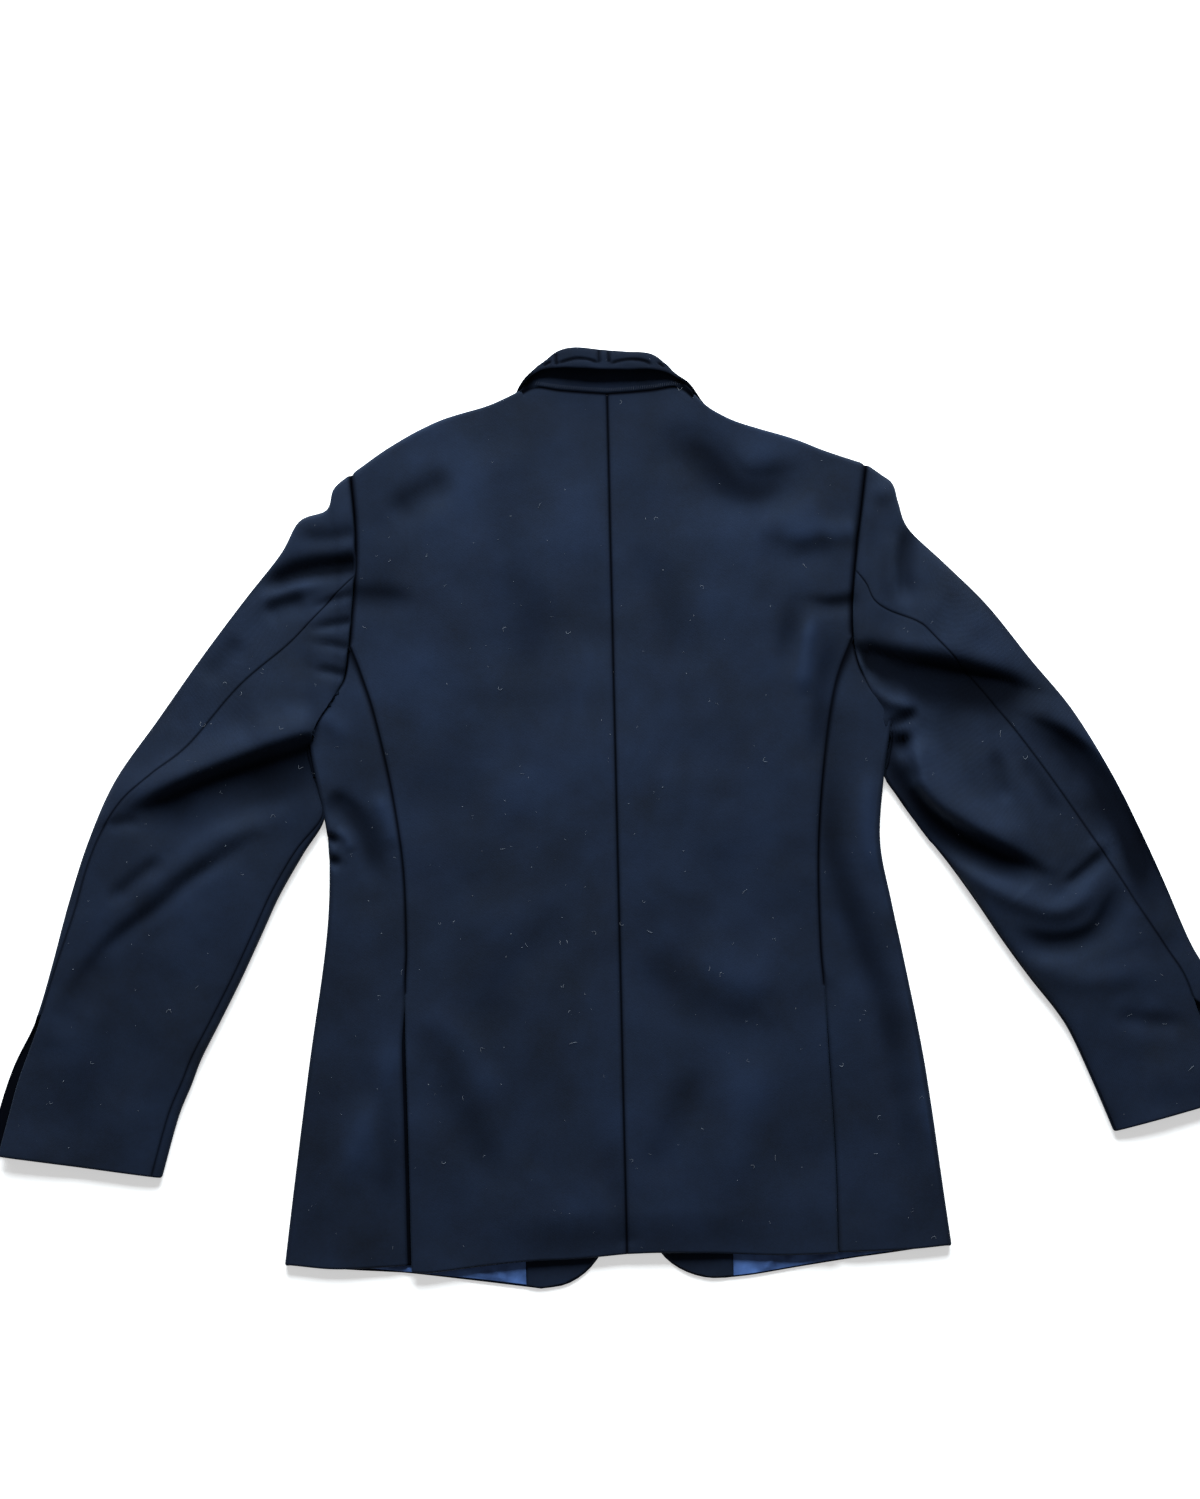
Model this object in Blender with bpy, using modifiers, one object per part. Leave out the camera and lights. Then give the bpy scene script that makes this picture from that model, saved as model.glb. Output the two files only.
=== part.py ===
"""A tailored blazer laid face down on a flat surface, with its back to the viewer.

The plan is drawn in millimetres, with +X to the viewer's right, +Y towards the collar
and the nape seam at (0, 0), and +Z up from the surface. The finished pieces are moved so
that the origin lies under the middle of the whole garment. Every cloth piece is a closed
wall lofted between the sections of its pattern: a section is a run of spots, and a spot
says where the cloth stands on plan, the space between the surface and the top of the
garment there, and the way the cloth faces. The back faces up, the front faces down, and
at a fold the cloth turns about the middle of that space.
"""

import math
from typing import NamedTuple

import bmesh
import bpy
from mathutils import Vector

MM = 0.001

# Cloth, in millimetres
WALL = 2.2              # wool, canvas and body lining together
LAPEL_WALL = 1.9
COLLAR_WALL = 2.4
FACING_WALL = 1.2
LINING_WALL = 0.5
SEAM_GAP = 0.3
HALF_GAP = 0.18         # what each piece gives up at a seam that bends
UNDERARM_GAP = 1.2      # between the side of the body and the sleeve beside it

# Heights of the garment as it lies
BODY_HEIGHT = 8.4
PAD_RISE = 3.6          # extra height over the shoulder pads
PAD_ACROSS = (100.0, 200.0)     # where the pads start and where they are full, from the centre
PAD_UP = (-250.0, -90.0)        # and up the back
SLEEVE_HEIGHT = 8.4
CUFF_HEIGHT = 8.0
FRONT_STACK = 5.6       # room for a front and the back over what lies beneath them
LAPEL_LIFT = 2.8        # the fronts lie on their turned lapels
BUTTON_LIFT = 3.2       # and on their buttons
OVERLAP_LIFT = 3.1      # the right front lies on the left one

# Front fastening
BUTTON_RADIUS = 10.0
BUTTON_HEIGHT = 2.8
BUTTONS = {"button_upper": (0.0, -408.0), "button_lower": (0.0, -508.0)}
BUTTON_PLATEAU = (95.0, 36.0)   # how far from a button the fronts start and end their rise

# Side vents
VENT_UNDERLAP = 28.0
VENT_TUCK = WALL + SEAM_GAP + 0.1
VENT_TUCK_REACH = 24.0

# Rows of the body from the hem to the armhole; the vents end on a row
BODY_ROWS = (0, 0.03, 0.07, 0.13, 0.21, 0.31, 0.43, 0.56, 0.68, 0.79, 0.9, 1.0)
VENT_ROW = 6
NECK_COLUMNS = 3
SHOULDER_COLUMNS = 9    # along the shoulder seam, which the back and the front share
SIDE_COLUMNS = 3
# Rows along the front edge, close together round the cutaway corner, and the roll line
FRONT_EDGE_ROWS = (0, 0.05, 0.1, 0.15, 0.21, 0.29, 0.4, 0.55, 0.7, 0.85, 1.0)
ROLL_LINE_ROWS = (0, 0.22, 0.45, 0.6, 0.75, 0.88, 1.0)
BODY_MIDDLE = Vector((0.0, -380.0))
ROLL_STEPS = 3          # facets of a quarter turn
TURN_STEPS = 5          # facets of a half turn
FLAT_STEP = 0.05        # spots nearer than this on plan are stacked at a fold
SHARP_ANGLE = math.radians(50)
FOLD_NICK = math.radians(5)     # keeps two edges that meet in a fold a seam's gap apart

# Segments of the armhole between the shoulder, the elbow seam, the side panel's seam, the
# sleeve's front seam and the underarm
STATION_SEGMENTS = (3, 2, 2, 1)
ELBOW_STATION = sum(STATION_SEGMENTS[:1])
PANEL_STATION = sum(STATION_SEGMENTS[:2])
FRONT_STATION = sum(STATION_SEGMENTS[:3])

# The outline of each half of the body; "left" is the wearer's left, at -X
BODY = {
    "left": {
        "neck": ((0, -1.4), (-19, 0.2), (-41, 2.4), (-60, 4.2), (-73, 1.5)),
        "shoulder": ((-73, 1.5), (-106, -9.0), (-143, -20.7), (-185, -41.0), (-221, -64.5)),
        "armhole": (
            (-221, -64.5), (-218, -105), (-218, -137), (-219.8, -160), (-223, -190),
            (-225.5, -212), (-231, -241), (-246, -256), (-259.6, -274.6),
        ),
        "stations": ((-219.3, -151.1), (-225.5, -212), (-255.5, -266)),
        "back_seam": (
            (-184.3, -746), (-184.6, -630), (-185, -515), (-183, -470), (-184, -405),
            (-191, -345), (-205, -275), (-216, -238), (-225.5, -212),
        ),
        "front_seam": (
            (-205, -748), (-203, -630), (-198, -515), (-192, -440), (-190, -380),
            (-196, -310), (-210, -250), (-225.5, -212),
        ),
        "side": (
            (-293.5, -741), (-283.3, -669), (-268, -566), (-254, -481), (-248.3, -428),
            (-248.3, -378), (-255.8, -335), (-261.8, -296), (-259.6, -274.6),
        ),
        "back_hem": ((-184.3, -749.5), (-165, -749.7), (-125, -745.5), (-83, -742.2),
                     (-43, -741.2), (0, -738)),
        "side_hem": ((-184.3, -744), (-245.6, -745.4), (-290, -741)),
        "under_hem": ((-205, -749.6), (-245.6, -746.5), (-290, -741)),
        "front_hem": ((-205, -749.6), (-184.8, -751.5), (-130, -759), (-86.4, -765.3),
                      (-74.4, -767.2)),
        "front_edge": (
            (-74.4, -767.2), (-53.8, -764.3), (-37.3, -755.2), (-24.9, -741.8),
            (-12, -720), (2, -682), (13, -622), (20, -560), (20, -430), (14, -400),
        ),
        "roll_line": ((14, -400), (-58, -78), (-66, -50), (-73, 1.5)),
    },
    "right": {
        "neck": ((0, -1.4), (19, -0.6), (39, 0.8), (62, 2.0), (75, -3.5)),
        "shoulder": ((75, -3.5), (106, -20), (143, -38.5), (183, -52.5), (220, -66)),
        "armhole": (
            (220, -66), (215, -103), (209, -147), (205.5, -183), (205.3, -214), (209.7, -236),
            (220.6, -257), (234, -270), (238.6, -278.1),
        ),
        "stations": ((208, -156.5), (205.3, -214), (235.2, -272)),
        "back_seam": (
            (180.5, -740), (180, -659), (176, -560), (174.5, -515), (172, -475), (172, -402),
            (178, -328), (189, -258), (205.3, -214),
        ),
        "front_seam": (
            (196, -742), (192, -640), (184, -530), (178, -440), (176, -380), (182, -310),
            (193, -250), (205.3, -214),
        ),
        "side": (
            (278.5, -737), (271.7, -682), (258.6, -578), (243.5, -492), (233.5, -440),
            (225.2, -389), (230, -333), (236, -296), (238.6, -278.1),
        ),
        "back_hem": ((180.5, -741.4), (136.4, -742), (100, -740.4), (74, -739), (28, -737.6),
                     (0, -738)),
        "side_hem": ((180.5, -740.8), (240.3, -740.2), (275, -738)),
        "under_hem": ((196, -746.6), (230, -743.2), (275, -738)),
        "front_hem": ((196, -746.6), (146.4, -753.5), (109, -759.1), (83.6, -761.5)),
        "front_edge": (
            (83.6, -761.5), (69, -761.1), (52.8, -756.5), (38.4, -748.1), (28.4, -737.4),
            (14, -716), (0, -680), (-13, -622), (-20, -560), (-20, -430), (-14, -400),
        ),
        "roll_line": ((-14, -400), (58, -78), (67, -50), (75, -3.5)),
    },
}

# How far the left front reaches across, at each height: (y, x)
LEFT_FRONT_REACH = (
    (-716, -60), (-682, 2), (-622, 13), (-560, 20), (-430, 20), (-400, 15), (-325, 6),
    (-285, -30),
)
OVERLAP_SLOPE = (35.0, 6.0)     # past its edge, where the right front comes down
# Where the two fronts lie on each other: half width, lower and upper end, and the slope
DOUBLED = (48.0, -705.0, -275.0)
DOUBLED_SLOPE = 27.0
LAPEL_SLOPE = (40.0, 8.0)
# How far from the centre the turned lapels and collar ends reach, at each height: (y, x)
LAPEL_REACH = ((-470, -60), (-390, 18), (-118, 155), (10, 155))

# The turned lapels: the roll, the gorge at the top, the free edge, and the foot, which on
# the right lapel follows the left front's edge
LAPELS = {
    "left": {
        "roll": ((-58, -76), (-35, -180), (12, -388)),
        "gorge": ((-58, -76), (-104, -86), (-150, -94)),
        "edge": ((-150, -94), (-146, -125), (-104, -235), (-40, -340), (8, -389)),
        "foot": ((12, -388), (8, -389)),
    },
    "right": {
        "roll": ((58, -76), (35, -180), (4, -326)),
        "gorge": ((58, -76), (104, -86), (150, -94)),
        "edge": ((150, -94), (146, -125), (104, -235), (52, -323), (15, -372)),
        "foot": ((4, -326), (15, -372)),
    },
}



class Cut(NamedTuple):
    """A section of a sleeve."""

    outer: tuple        # its outer edge on plan
    inner: tuple        # its inner edge on plan
    plain: float        # the share of the way from the armhole's shape to a plain tube
    vent: float | None  # where the top sleeve starts at the open cuff vent, as an arc length
    #                     from the outer edge, and None while the elbow seam is closed


SLEEVES = {
    "left": (
        ((-221, -64.5), (-259.6, -274.6), 0.0, None),
        ((-236, -77), (-261, -284), 0.12, None),
        ((-242.5, -95), (-261.8, -293), 0.25, None),
        ((-266, -104), (-261.5, -303), 0.4, None),
        ((-283, -132), (-259, -315), 0.6, None),
        ((-316, -172), (-256, -333), 0.85, None),
        ((-354, -220.5), (-254.5, -351), 1.0, None),
        ((-391.6, -271.6), (-270, -389), 1.0, None),
        ((-428.9, -322.2), (-290, -424), 1.0, None),
        ((-453, -373), (-307, -458), 1.0, None),
        ((-470.7, -424), (-326, -497), 1.0, None),
        ((-485.6, -475), (-345, -533), 1.0, None),
        ((-497, -512), (-361, -563), 1.0, None),
        ((-506.2, -534.1), (-370, -585), 1.0, -1.0),
        ((-527, -573), (-382, -613), 1.0, -3.5),
        ((-549.5, -639.5), (-397.3, -664), 1.0, -4.0),
    ),
    "right": (
        ((220, -66), (238.6, -278.1), 0.0, None),
        ((234, -76), (237.6, -288), 0.12, None),
        ((246.5, -86), (236.2, -298), 0.25, None),
        ((244, -102), (234.6, -308), 0.4, None),
        ((257, -123), (232.5, -320), 0.6, None),
        ((287, -154), (230, -333.2), 0.85, None),
        ((322, -190), (242, -353), 1.0, None),
        ((358, -237), (262, -382), 1.0, None),
        ((392, -280), (284, -411), 1.0, None),
        ((424, -334), (306, -443), 1.0, None),
        ((446, -380), (328, -477), 1.0, None),
        ((467, -428), (351, -510), 1.0, None),
        ((488, -480), (373, -539), 1.0, None),
        ((503, -508), (386, -561), 1.0, None),
        ((526, -556), (405.3, -606), 1.0, 4.0),
        ((556, -608), (420, -643), 1.0, -3.5),
    ),
}
ELBOW_SEAMS = {
    "left": (
        (-219.3, -151.1), (-236.5, -167.9), (-256.7, -188.9), (-278.7, -210.7),
        (-320.7, -244.9), (-364.7, -293.6), (-410, -344), (-452, -396), (-466.2, -434.6),
        (-481.4, -476.3), (-492.4, -507.8), (-501.6, -536), (-515.3, -571.6),
        (-522.7, -594.6), (-537, -645),
    ),
    "right": (
        (208, -156.5), (218.3, -169.8), (224, -182.9), (236.7, -192.6), (260.5, -202.6),
        (275.2, -215.8), (320.7, -269.2), (358.2, -319), (401, -382), (441.7, -445.4),
        (468.1, -487.2), (483.9, -513.3), (496.2, -550.5), (521, -624),
    ),
}
FRONT_SEAM_INSET = 12.0
UNDERARM_END = -352.0   # down to here the sleeve lies beside the body
FOLD_TURN = 4           # the inner fold turns square to its edge this much sooner than plain
CUFF_ROWS = 4           # the sections over which the sleeve thins towards the cuff
STRIP_STEP = 0.9        # the narrowest strip of top sleeve beside the elbow seam

# The largest folds of the sleeves, as soft ridges: start, end, half width, height
SLEEVE_FOLDS = (
    ((-262, -268), (-425, -336), 17.0, 3.2),
    ((-262, -290), (-400, -352), 15.0, -1.6),
    ((-246, -148), (-292, -160), 10.0, -1.6),
    ((-262, -160), (-296, -171), 8.0, 2.4),
    ((-300, -410), (-440, -480), 12.0, 1.8),
    ((250, -330), (352, -398), 17.0, 3.4),
    ((248, -352), (348, -418), 12.0, -1.6),
    ((236, -230), (330, -262), 15.0, -1.4),
    ((215, -232), (262, -275), 9.0, 2.6),
    ((330, -440), (405, -452), 14.0, 2.4),
)

# The collar leaf, from the centre back to its end under the front, mirrored: its roll,
# middle and free edge, each as (x, y, z)
LEAF_STATIONS = (
    ((0, 38.5, 9.0), (0, 35.5, 23.0), (0, 19.0, 33.5)),
    ((22, 38.8, 9.0), (22, 35.8, 23.0), (22, 19.5, 33.0)),
    ((42, 34.5, 9.0), (43, 31.5, 21.5), (42, 19.0, 31.0)),
    ((57, 25.0, 8.8), (59, 23.5, 19.5), (56, 17.0, 27.5)),
    ((68, 13.5, 8.4), (71, 13.0, 16.5), (69, 9.5, 22.0)),
    ((76.5, 6.0, 7.6), (82, 4.5, 11.0), (86, 1.8, 13.0)),
    ((79.5, 4.0, 4.2), (88, 1.5, 4.6), (98, -2.5, 5.2)),
    ((77.0, -1.0, 1.2), (88, -5.5, 1.2), (103, -9.5, 1.2)),
    ((70.0, -24.0, 1.2), (84, -28.0, 1.2), (106, -32.0, 1.2)),
    ((59.0, -73.8, 1.2), (79, -78.0, 1.2), (104, -83.6, 1.2)),
)

# Collar stand: roll line at the centre back and towards the neck points, mirrored
STAND_ROLL = ((0, 36.6), (22, 36.6), (42, 32), (56.5, 22.5), (66, 12.0), (73.5, 4.0))
STAND_TOP = 9.6
STAND_ROWS = 3
STAND_END_STEP = 1.2    # clear of the shoulder fold at the neck points

# Facings and lining, shown below the back hem
STRIP_TOP = -722.0
INSIDE = {
    "left": {
        "facing_seam": -86.4,
        "facing_hem": ((-86.0, -764.0), (-74, -765.9), (-54.5, -763.0)),
        "facing_edge": ((-54.5, -763.0), (-38.5, -754.3), (-26, -740.8), (-15.5, -722)),
        "lining_hem": ((-241, -744.2), (-205, -748.2), (-130, -757.4), (-87.0, -763.6)),
    },
    "right": {
        "facing_seam": 109.0,
        "facing_hem": ((108.6, -757.8), (84, -760.2), (69.5, -759.8)),
        "facing_edge": ((69.5, -759.8), (53.8, -755.4), (39.6, -747.2), (29.8, -736.6),
                        (20.5, -722)),
        "lining_hem": ((228, -741.8), (196, -745.2), (146.4, -752.2), (109.4, -757.6)),
    },
}

# name: linear colour, roughness
FINISHES = {
    "wool": ((0.016, 0.023, 0.048), 0.85),
    "lining": ((0.035, 0.075, 0.18), 0.4),
    "horn": ((0.012, 0.011, 0.012), 0.35),
}


class Spot(NamedTuple):
    """A spot of cloth: its place, the space it closes, its lean, its fold and its wall."""

    x: float
    y: float
    low: float      # the bottom and the top of the garment here
    high: float
    lean: Vector    # the way the cloth faces
    rise: float     # how far a fold lifts it
    wall: float     # its thickness, with the canvas or the pad behind it


UP = Vector((0.0, 0.0, 1.0))
DOWN = Vector((0.0, 0.0, -1.0))


# ---------------------------------------------------------------- curves on plan


def smooth(points, steps=12):
    """A smooth run of points through the given ones, which it keeps."""
    pts = [Vector(p) for p in points]
    ends = [2 * pts[0] - pts[1], *pts, 2 * pts[-1] - pts[-2]]
    run = [pts[0]]
    for before, start, end, after in zip(ends, ends[1:], ends[2:], ends[3:]):
        for k in range(1, steps + 1):
            t = k / steps
            run.append(
                0.5 * (2 * start + (end - before) * t
                       + (2 * before - 5 * start + 4 * end - after) * t * t
                       + (3 * start - before - 3 * end + after) * t * t * t)
            )
    return run


def lengths(run):
    """The length along a run of points, up to each of them."""
    total = [0.0]
    for a, b in zip(run, run[1:]):
        total.append(total[-1] + (b - a).length)
    return total


def at(run, share):
    """The point a share of the way along a run."""
    along = lengths(run)
    target = min(max(share, 0.0), 1.0) * along[-1]
    for k in range(1, len(run)):
        if along[k] >= target:
            span = along[k] - along[k - 1]
            t = (target - along[k - 1]) / span if span else 0.0
            return run[k - 1].lerp(run[k], t)
    return run[-1].copy()


def sample(points, shares):
    """Points at the given shares of a smooth curve; a number means evenly spaced steps."""
    if isinstance(shares, int):
        shares = [k / shares for k in range(shares + 1)]
    run = smooth(points)
    return [at(run, share) for share in shares]


def share_of(run, point):
    """The share of the way along a run of its nearest point to the one given."""
    along = lengths(run)
    nearest = min(range(len(run)), key=lambda k: (run[k] - point).length)
    return along[nearest] / along[-1]


def between(table, y):
    """The x of a table of (y, x) at a height, straight between its rows."""
    rows = sorted(table)
    if y <= rows[0][0]:
        return rows[0][1]
    for (y0, x0), (y1, x1) in zip(rows, rows[1:]):
        if y <= y1:
            return x0 + (x1 - x0) * (y - y0) / (y1 - y0)
    return rows[-1][1]


def ramp(value, start, end):
    """0 at start and 1 at end, with a soft slope between."""
    t = min(max((value - start) / (end - start), 0.0), 1.0)
    return t * t * (3 - 2 * t)


def patch(bottom, top, left, right):
    """Plan points between four edges; rows run from the bottom edge to the top one."""
    rows, columns = len(left) - 1, len(bottom) - 1
    grid = []
    for i in range(rows + 1):
        v = i / rows
        line = []
        for j in range(columns + 1):
            u = j / columns
            line.append(
                bottom[j] * (1 - v) + top[j] * v + left[i] * (1 - u) + right[i] * u
                - bottom[0] * (1 - u) * (1 - v) - bottom[-1] * u * (1 - v)
                - top[0] * (1 - u) * v - top[-1] * u * v
            )
        grid.append(line)
    return grid


def squares(points):
    """The direction to the left of each point of a line, square to it."""
    ends = [points[0], *points, points[-1]]
    runs = [after - before for before, after in zip(ends, ends[2:])]
    return [Vector((-run.y, run.x)).normalized() for run in runs]


def draw_in(points, inside, distance=HALF_GAP):
    """A line of plan points moved square to itself towards a point inside the piece."""
    moved = []
    for point, square in zip(points, squares(points)):
        side = 1 if square.dot(inside - point) > 0 else -1
        moved.append(point + square * side * distance)
    return moved


# ---------------------------------------------------------------- heights


def underlay(x, y):
    """What lies under the fronts: turned lapels, collar ends and buttons."""
    reach = between(LAPEL_REACH, y)
    lapels = LAPEL_LIFT * ramp(abs(x) - reach, *LAPEL_SLOPE)
    buttons = 0.0
    for bx, by in BUTTONS.values():
        buttons = max(buttons, BUTTON_LIFT * ramp(math.hypot(x - bx, y - by), *BUTTON_PLATEAU))
    return max(lapels, buttons)


def overlap(x, y):
    """How far the left front lifts the right one."""
    reach = between(LEFT_FRONT_REACH, y)
    return OVERLAP_LIFT * ramp(x - reach, *OVERLAP_SLOPE)


def padding(x, y):
    """What the shoulder pads add to the height of the body."""
    return PAD_RISE * ramp(abs(x), *PAD_ACROSS) * ramp(y, *PAD_UP)


def body_top(x, y):
    """The height of the laid body's upper face."""
    half_width, low_end, high_end = DOUBLED
    doubled = (ramp(abs(x) - half_width, DOUBLED_SLOPE, 0) * ramp(low_end - y, DOUBLED_SLOPE, 0)
               * ramp(y - high_end, DOUBLED_SLOPE, 0))
    stack = underlay(x, y) + FRONT_STACK + (OVERLAP_LIFT + SEAM_GAP) * doubled
    return max(BODY_HEIGHT + padding(x, y), stack)


def fold_rise(x, y):
    """The largest folds, on the upper layer of the sleeves."""
    rise = 0.0
    here = Vector((x, y))
    for start, end, width, height in SLEEVE_FOLDS:
        start, end = Vector(start), Vector(end)
        run = end - start
        t = min(max((here - start).dot(run) / run.length_squared, 0.0), 1.0)
        away = (here - start - run * t).length
        rise += height * math.exp(-((away / width) ** 2))
    return rise


def body_spot(point, lean, extra=0.0, sink=0.0):
    """A spot on the body: extra lifts its lower face and sink lowers its upper one."""
    low = underlay(point.x, point.y) + extra
    high = body_top(point.x, point.y)
    wall = WALL + padding(point.x, point.y) / 2
    return Spot(point.x, point.y, low, high, lean, -sink, wall)


# ---------------------------------------------------------------- making pieces


def faces_of_spot(spot):
    """The outer and inner points of the cloth at a spot, in metres."""
    centre = (spot.low + spot.high) / 2
    radius = (spot.high - spot.low) / 2
    base = Vector((spot.x, spot.y, centre))
    rise = spot.rise * max(spot.lean.z, 0.0)
    outer = base + spot.lean * radius + UP * rise
    inner = base + spot.lean * (radius - spot.wall) + UP * min(rise, 0.0)
    return outer * MM, inner * MM


def make_mesh(name, mesh, finish):
    """An object of the blazer from a mesh, in its own material."""
    colour, roughness = FINISHES[finish]
    material = bpy.data.materials.new(f"{name}_{finish}")
    material.use_nodes = True
    shader = material.node_tree.nodes["Principled BSDF"]
    shader.inputs["Base Color"].default_value = (*colour, 1.0)
    shader.inputs["Roughness"].default_value = roughness
    shader.inputs["Metallic"].default_value = 0.0
    mesh.materials.append(material)
    piece = bpy.data.objects.new(name, mesh)
    BLAZER.objects.link(piece)
    return piece


def loft_wall(name, pairs, finish, keep=None):
    """A closed wall from a grid of (outer, inner) points; keep(i, j) picks its quads."""
    bm = bmesh.new()
    outer = [[bm.verts.new(pair[0]) for pair in line] for line in pairs]
    inner = [[bm.verts.new(pair[1]) for pair in line] for line in pairs]
    edges = {}
    for i in range(len(pairs) - 1):
        for j in range(len(pairs[0]) - 1):
            if keep and not keep(i, j):
                continue
            ring = ((i, j), (i, j + 1), (i + 1, j + 1), (i + 1, j))
            bm.faces.new([outer[a][b] for a, b in ring])
            bm.faces.new([inner[a][b] for a, b in reversed(ring)])
            for start, end in zip(ring, ring[1:] + ring[:1]):
                if edges.pop((end, start), None) is None:
                    edges[(start, end)] = True
    for (a, b), (c, d) in edges:
        bm.faces.new((outer[c][d], outer[a][b], inner[a][b], inner[c][d]))
    loose = [vert for vert in bm.verts if not vert.link_faces]
    bmesh.ops.delete(bm, geom=loose, context="VERTS")
    bmesh.ops.triangulate(bm, faces=bm.faces[:])
    bmesh.ops.recalc_face_normals(bm, faces=bm.faces[:])
    if bm.calc_volume(signed=True) < 0:
        bmesh.ops.reverse_faces(bm, faces=bm.faces[:])
    mesh = bpy.data.meshes.new(name)
    bm.to_mesh(mesh)
    bm.free()
    mesh.set_sharp_from_angle(angle=SHARP_ANGLE)
    return make_mesh(name, mesh, finish)


def cloth(name, spots, keep=None):
    """A piece of the wool cloth from a grid of spots."""
    pairs = [[faces_of_spot(spot) for spot in line] for line in spots]
    return loft_wall(name, pairs, "wool", keep)


def turned(direction, angle):
    """The way cloth faces at an angle above the surface, at a fold's outward direction."""
    flat = Vector((direction.x, direction.y, 0.0))
    return flat * math.cos(angle) + UP * math.sin(angle)


# ---------------------------------------------------------------- the body


class Side:
    """The seams of one half of the body, sampled where its pieces meet."""

    def __init__(self, side):
        lines = BODY[side]
        self.lines = lines
        self.side = side
        radius = body_top(*lines["armhole"][0]) / 2
        under = body_top(*lines["armhole"][-1]) / 2
        shoulder, underarm = Vector(lines["armhole"][0]), Vector(lines["armhole"][-1])
        self.shoulder_lean = (shoulder - Vector(lines["armhole"][1])).normalized()
        self.underarm_lean = (underarm - Vector(lines["armhole"][-2])).normalized()
        inset = [shoulder - self.shoulder_lean * radius, *map(Vector, lines["armhole"][1:-1]),
                 underarm - self.underarm_lean * under]
        run = smooth(inset)
        shares = [0.0, *(share_of(run, Vector(p)) for p in lines["stations"]), 1.0]
        self.shares = []
        for start, end, steps in zip(shares, shares[1:], STATION_SEGMENTS):
            self.shares += [start + (end - start) * k / steps for k in range(steps)]
        self.shares.append(1.0)
        armhole = [at(run, share) for share in self.shares]
        self.body_armhole = draw_in(armhole, BODY_MIDDLE)
        self.sleeve_armhole = draw_in(armhole, BODY_MIDDLE, -HALF_GAP)
        self.armhole_run = run
        self.back_seam = sample(lines["back_seam"], BODY_ROWS)
        self.front_seam = sample(lines["front_seam"], BODY_ROWS)

    def shoulder_lean_at(self, share):
        """The shoulder fold's outward direction, a share of the way to the armhole."""
        first, last = self.lines["shoulder"][0], self.lines["shoulder"][-1]
        run = Vector(last) - Vector(first)
        square = Vector((run.y, -run.x)).normalized()
        if square.y < 0:
            square = -square
        return square.lerp(self.shoulder_lean, share ** 2).normalized()

    def shoulder_middles(self, columns):
        """The points that the shoulder fold turns about, from the neck to the armhole."""
        middles = []
        for k, point in enumerate(sample(self.lines["shoulder"], columns)):
            space = body_top(*point) - underlay(*point)
            middles.append(point - self.shoulder_lean_at(k / columns) * space / 2)
        middles[-1] = self.body_armhole[0]
        return middles


def roll_rows(line, leans, start, end):
    """Rows of (point, lean) that turn a line of cloth over a fold."""
    rows = []
    for k in range(1, ROLL_STEPS + 1):
        angle = start + (end - start) * k / ROLL_STEPS
        rows.append([(point, turned(lean, angle)) for point, lean in zip(line, leans)])
    return rows


def build_back(side):
    """A back panel, from the hem to the neck and over the shoulder fold to its seam."""
    lines = side.lines
    flank = draw_in(side.back_seam, BODY_MIDDLE) + side.body_armhole[PANEL_STATION::-1][1:]
    flank[0].y = lines["back_hem"][0][1]
    rows = len(flank) - 1
    centre = sample(((0, lines["back_hem"][-1][1]), (0, -400), (0, -1.4)), rows)
    centre = draw_in(centre, flank[rows // 2])
    neck = draw_in(sample(lines["neck"], NECK_COLUMNS), BODY_MIDDLE)
    middles = side.shoulder_middles(SHOULDER_COLUMNS)
    top = neck[:-1] + middles
    centre[-1].y = neck[0].y
    top[0] = centre[-1]
    columns = len(top) - 1
    hem = sample(lines["back_hem"], columns)[::-1]
    hem[0], hem[-1] = centre[0], flank[0]
    grid = patch(hem, top, centre, flank)
    spots = [[body_spot(point, UP) for point in line] for line in grid]
    leans = [side.shoulder_lean_at(max(0, j - NECK_COLUMNS) / SHOULDER_COLUMNS)
             for j in range(columns + 1)]
    for row in roll_rows(grid[-1], leans, math.pi / 2, FOLD_NICK):
        spots.append([body_spot(point, lean) for point, lean in row])
    cloth(f"back_{side.side}", spots, keep=lambda i, j: i < rows or j >= NECK_COLUMNS)


def build_front(side):
    """A front, from the cutaway hem to the roll line and over the shoulder fold."""
    lines = side.lines
    flank = draw_in(side.front_seam, BODY_MIDDLE) + side.body_armhole[PANEL_STATION::-1][1:]
    edge = sample(lines["front_edge"], FRONT_EDGE_ROWS)
    roll = sample(lines["roll_line"], ROLL_LINE_ROWS)
    opening = edge + roll[1:]
    top = side.shoulder_middles(SHOULDER_COLUMNS)
    opening[-1] = top[0]
    hem = sample(lines["front_hem"], SHOULDER_COLUMNS)[::-1]
    hem[0], hem[-1] = opening[0], flank[0]
    grid = patch(hem, top, opening, flank)
    extra = overlap if side.side == "right" else (lambda x, y: 0.0)
    spots = [[body_spot(p, DOWN, extra(p.x, p.y)) for p in line] for line in grid]
    leans = [side.shoulder_lean_at(k / SHOULDER_COLUMNS) for k in range(SHOULDER_COLUMNS + 1)]
    for row in roll_rows(grid[-1], leans, -math.pi / 2, -FOLD_NICK):
        spots.append([body_spot(point, lean) for point, lean in row])
    cloth(f"front_{side.side}", spots)


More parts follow.
